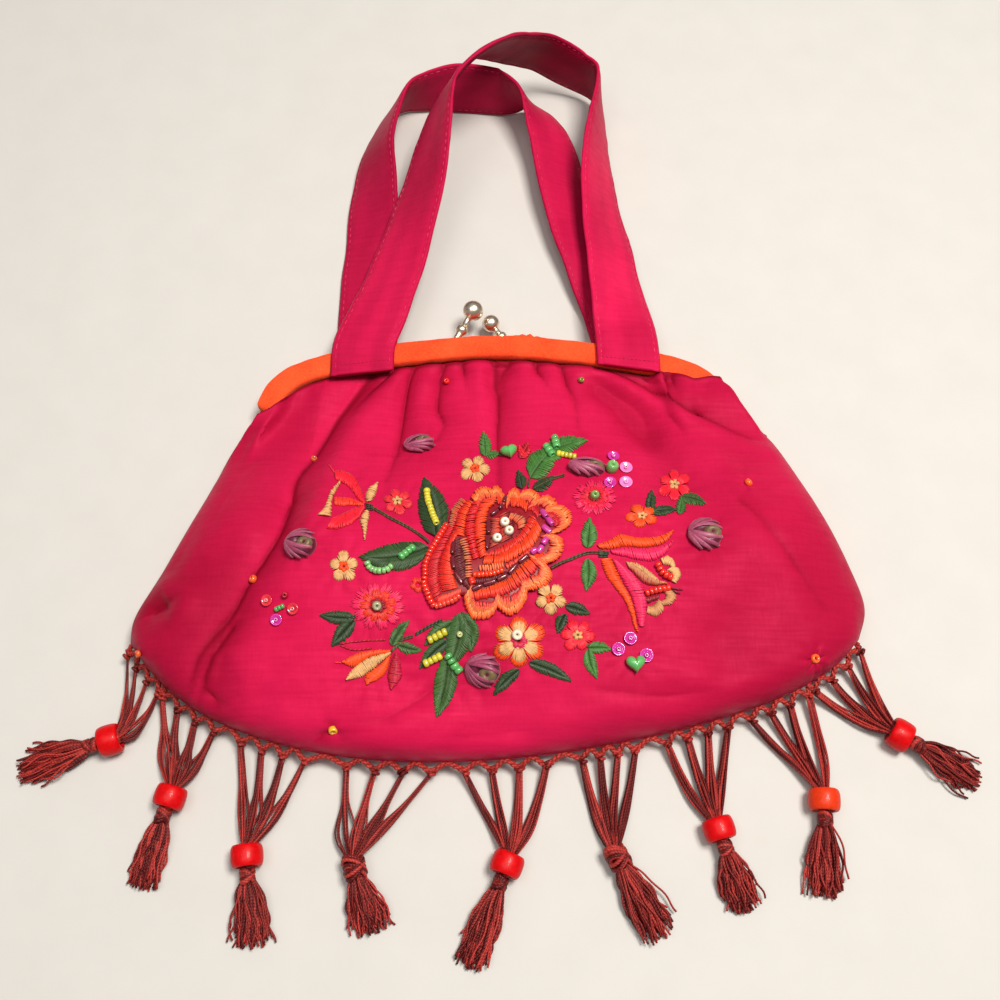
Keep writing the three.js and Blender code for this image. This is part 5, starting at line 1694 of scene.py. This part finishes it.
flowers.patch([(626, 562), (637.5, 564), (652, 573.5), (660, 581), (667, 583)],
              [(630, 569), (637, 577), (645, 584), (655, 586), (667, 584)],
              CREAM, CRIMSON)
flowers.band([(632, 563.5), (640, 566), (650, 573), (657, 579)],
             [(636, 568), (643, 574), (650, 580), (656, 582)], CREAM, TAN, 1.3, 0.3, 0.4)
flowers.patch([(660, 559), (667, 556), (673, 560), (675.5, 567)],
              [(663, 565), (667, 565), (671, 567), (672, 570)], CREAM, CREAM)
flowers.patch([(672.5, 567), (679, 569), (680.5, 576), (676, 584)],
              [(667, 571), (671, 573), (672, 577), (671, 581)], CREAM, CREAM)
flowers.patch([(671, 590), (676, 597), (671.5, 604), (663, 606)],
              [(664, 592), (666, 596), (664, 600), (660, 601)], lerp(TAN, CREAM, 0.4), TAN)
flowers.patch([(662, 603), (663, 611), (655, 616.5), (646, 613)],
              [(658, 600), (655, 604), (651, 606), (648, 606)], lerp(TAN, CREAM, 0.6), TAN)
flowers.band([(645, 597), (652, 596), (660, 594)], [(646, 604), (652, 602), (658, 599)], CRIMSON, MAROON)
flowers.stitch((670, 588.5), (683, 590), MAROON, MAROON)
flowers.stitch((670, 589.5), (680.5, 594.5), MAROON, MAROON)
# Lily, buds and small marks
flowers.patch([(391, 650), (376, 650), (358, 653), (341.5, 661.5)],
              [(388, 653), (369, 657.5), (354, 667), (343, 662.5)], ORANGE, ORANGE)
flowers.patch([(391, 651.5), (369, 657.5), (354, 667.5), (345, 679.5)],
              [(391, 653.5), (377, 665.5), (361, 677), (347, 679.5)], CREAM, CREAM, 0.15)
flowers.patch([(389.5, 655), (378, 666), (365, 676), (366, 685)],
              [(390, 657), (388, 668), (381, 678), (369, 683)], ORANGE, ORANGE)
flowers.stem([(345, 679.5), (350, 676)], CORAL, 1)
flowers.stem([(334, 662), (342, 662.5)], CORAL, 1)
flowers.patch([(395, 653), (389.5, 667), (387.5, 677), (391, 690)],
              [(398, 653), (401, 667), (401.5, 677), (391.5, 690)], CRIMSON, lerp(CRIMSON, PINK, 0.4))
flowers.stem([(340, 644), (360, 641), (386, 640)], CRIMSON, 1)
flowers.stem([(340, 645), (354, 650), (372, 648)], CRIMSON, 1)
flowers.leaf((520, 459), (528, 443), 6, 1, CRIMSON, SCARLET)
flowers.leaf((526, 458), (519, 446), 3, -1, SCARLET, CORAL)
flowers.sewing.make("flower_stitches", "silk")

# Bead accents on leaves, flowers and silk. Rows of seed beads: points, colour, radius
BEAD_LINES = [
    ([(427, 491), (428.5, 503), (432.5, 514), (436.5, 527)], YELLOW_BEAD, 1.05),
    ([(367, 562), (370, 568), (378, 571.5), (386, 570.5), (392, 566)], PALE_GREEN_BEAD, 1.0),
    ([(400, 559), (414, 548.5)], GREEN_BEAD, 1.2), ([(545, 447), (553, 458)], GREEN_BEAD, 1.3),
    ([(554, 438), (557, 450)], GREEN_BEAD, 1.3), ([(557, 455), (576, 459)], YELLOW_BEAD, 1.0),
    ([(428, 641), (447, 631)], YELLOW_BEAD, 1.15), ([(424, 664), (442, 655)], YELLOW_BEAD, 1.15),
    ([(447, 654), (461, 673)], GREEN_BEAD, 1.3), ([(657, 564), (662, 573), (672, 579)], RED_BEAD, 1.1),
    ([(645, 594), (654, 591), (670, 588)], RED_BEAD, 1.05), ([(276, 610), (285, 606)], GREEN_BEAD, 0.8),
]
for points, tone, radius in BEAD_LINES:
    beads.line(points, tone, radius)
# Single round beads: picture point, colour, radius
BALLS = [
    (377, 606, linear(170, 166, 132), 1.4), (594.5, 498, linear(122, 158, 84), 1.4),
    (518, 635, PEARL, 1.6), (612, 471, linear(112, 172, 96), 1.9),
    (459.5, 634, linear(186, 190, 130), 0.9), (286, 595, linear(170, 16, 42), 1.0),
    (448, 383, RED_BEAD, 1.0), (580, 381, linear(134, 128, 52), 1.0),
]
for u, v, tone, radius in BALLS:
    beads.ball(u, v, tone, radius)
# Single beads that show their holes: picture point, colour, radius, lean
RINGS = [
    (313, 460, linear(206, 92, 48), 1.1, (-0.2, 0.2)), (747, 484, linear(232, 92, 34), 1.3, (0.3, 0.2)),
    (814, 660, linear(236, 96, 34), 1.4, (0.2, -0.3)), (333, 728, linear(226, 176, 46), 1.4, (0, -0.3)),
    (140, 653, linear(226, 92, 40), 1.1, (-0.4, 0)), (255, 580, linear(236, 96, 36), 1.3, (-0.2, 0)),
]
for u, v, tone, radius, lean in RINGS:
    beads.ring(u, v, tone, radius, lean)
beads.heart(510, 455, 5.4, 0.25, GREEN_BEAD)
beads.heart(635, 665, 5.6, 0.1, GREEN_BEAD)
beads.build.make("glass_beads", GLASS, "silk")

SPANGLE = tinted_material("spangle", 0.16, coat=0.8, fibre=0.03, variety=0.15)
spangles = Beads()
# Picture point, colour, radius
SEQUINS = [
    (613, 458, MAGENTA, 1.9), (625.5, 469.5, ROSY, 2.0), (625.5, 484, ROSY, 2.0),
    (610, 484, MAGENTA, 1.9), (600, 469, ROSY, 1.1), (618, 649.5, MAGENTA, 1.9), (630, 639, MAGENTA, 1.9),
    (646, 655.5, MAGENTA, 2.0), (268, 601, linear(220, 48, 62), 1.7),
    (294, 609, linear(220, 48, 62), 1.7), (277, 620, MAGENTA, 1.7),
]
for u, v, tone, radius in SEQUINS:
    spangles.sequin(u, v, tone, radius, lerp(tone, GLINT, 0.25))
spangles.build.make("spangles", SPANGLE, "silk")

# Wrapped buds: a bead in a ball of ribbon strips that are gathered at one side.
# Picture point, half length and height in the picture, direction of the gather
PLEAT = tinted_material("pleated_ribbon", 0.4, sheen=0.2, fibre=0.3, specular=0.4, variety=0.25)
buds = Build()
BUDS = [
    ((420, 446), 14.5, 10.5, 205), ((302, 545), 14.5, 13.5, 165), ((705.5, 535.5), 15.5, 15, 172),
    ((484, 670), 15.5, 14, 155), ((587, 470), 18, 10.5, 165),
]
# Strips of each bud: angle from the far side of the gather, and reach
STRIPS = [
    (-128, 0.9), (-100, 1.0), (-72, 1.0), (-44, 1.0), (-14, 0.9), (24, 0.9), (50, 0.98), (78, 1.0),
    (106, 1.0), (132, 0.9),
]
STRIP_ROWS = 17
STRIP_SIDES = 10


def dome(build, centre, axes, size, tone):
    """A rounded lump with three half axes."""
    vertices, faces = lathe(ring_profile(1.0, 0.03, 1.0, 20), 28)
    build.add((vertices * size) @ axes + centre, [faces[:, ::-1]], tone)


for (u, v), long_half, short_half, gather in BUDS:
    centre, normal = placed(u, v, 0.2)
    reach = np.array([long_half, short_half]) * PIXEL
    across = unit(np.cross(normal, [1.0, 0.0, 0.0]))
    plane = np.stack([np.cross(across, normal), across])
    axes = np.vstack([plane, normal])
    tall = 0.62 * reach.mean()
    dome(buds, centre, axes, [reach[0] * 0.93, reach[1] * 0.93, tall * 0.93], linear(92, 22, 48))
    g = math.radians(gather)
    pinch = np.array([math.cos(g), math.sin(g)])
    bead = centre + (-pinch * reach * 0.36) @ plane + normal * tall * 0.35
    dome(buds, bead, axes, [reach[0] * 0.52, reach[1] * 0.52, tall * 0.68], linear(112, 92, 62))
    for turn, far in STRIPS:
        e = g + math.pi + math.radians(turn)
        end = np.array([math.cos(e), math.sin(e)]) * far
        f = np.linspace(0, 1, STRIP_ROWS)[:, None]
        aside = np.array([-(end - pinch)[1], (end - pinch)[0]]) * math.copysign(0.12, turn)
        flat = lerp(pinch * 0.94, end, f) + aside * 4 * f * (1 - f)
        high = np.sqrt(np.maximum(0.0, 1.02 - np.sum(flat**2, -1))) * tall
        line = centre + (flat * reach) @ plane + np.outer(high, normal)
        ahead = unit(np.gradient(line, axis=0))
        out = unit((line - centre) @ axes.T / np.array([*reach, tall]) ** 2 @ axes)
        beside = unit(np.cross(ahead, out))
        half = (0.24 + 0.46 * np.sin(math.pi * (0.08 + 0.8 * f)) ** 0.8) * reach.mean() / 4.6
        a = np.arange(STRIP_SIDES) * 2 * math.pi / STRIP_SIDES
        fold = 0.34 * np.cos(a) ** 2 * np.sign(np.cos(a)) * math.copysign(1, turn)
        ring = beside[:, None] * (half[:, None] * np.cos(a)[:, None])
        ring = ring + out[:, None] * (0.3 * np.sin(a) + fold * 0.5 + 0.3)[:, None]
        tone = lerp(MAUVE, PALE_MAUVE, RNG.uniform(0.1, 0.9))
        buds.add(line[:, None] + ring, tube_faces(STRIP_ROWS, STRIP_SIDES), tone)
buds.make("wrapped_buds", PLEAT, "silk")

# Floor, light and finish
floor_mesh = bpy.data.meshes.new("floor")
floor_mesh.from_pydata([(-4, -4, 0), (4, -4, 0), (4, 4, 0), (-4, 4, 0)], [], [(0, 1, 2, 3)])
floor = bpy.data.objects.new("floor", floor_mesh)
bpy.context.scene.collection.objects.link(floor)
floor_material, floor_tree, floor_shader = nodes_of("floor")
grain = noise_of(floor_tree, place_of(floor_tree), 60.0, 5.0)
pale = blend_of(floor_tree, grain, rgba((0.54, 0.525, 0.5)), rgba((0.59, 0.575, 0.55)))
preset(floor_tree, floor_shader, {"Base Color": pale, "Roughness": 0.8})
floor_mesh.materials.append(floor_material)
floor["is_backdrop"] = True


def softbox(name, place, size, power, colour):
    """A square lamp that faces the bag."""
    light = bpy.data.objects.new(name, bpy.data.lights.new(name, "AREA"))
    light.data.size = size
    light.data.energy = power
    light.data.color = colour
    light.location = place
    light.rotation_mode = "QUATERNION"
    light.rotation_quaternion = (-Vector(place)).to_track_quat("-Z", "Y")
    bpy.context.scene.collection.objects.link(light)


softbox("key", (0.28, 0.04, 0.97), size=0.3, power=12.3, colour=(1.0, 0.95, 0.88))
softbox("fill", (-0.25, -0.1, 1.1), size=0.6, power=3.4, colour=(1.0, 0.97, 0.94))
world = bpy.data.worlds.new("studio")
bpy.context.scene.world = world
world.use_nodes = True
sky = world.node_tree.nodes["Background"]
preset(world.node_tree, sky, {"Color": (1.0, 0.98, 0.95, 1), "Strength": 0.22})
bpy.context.scene.view_settings.view_transform = "Standard"

low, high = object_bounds()
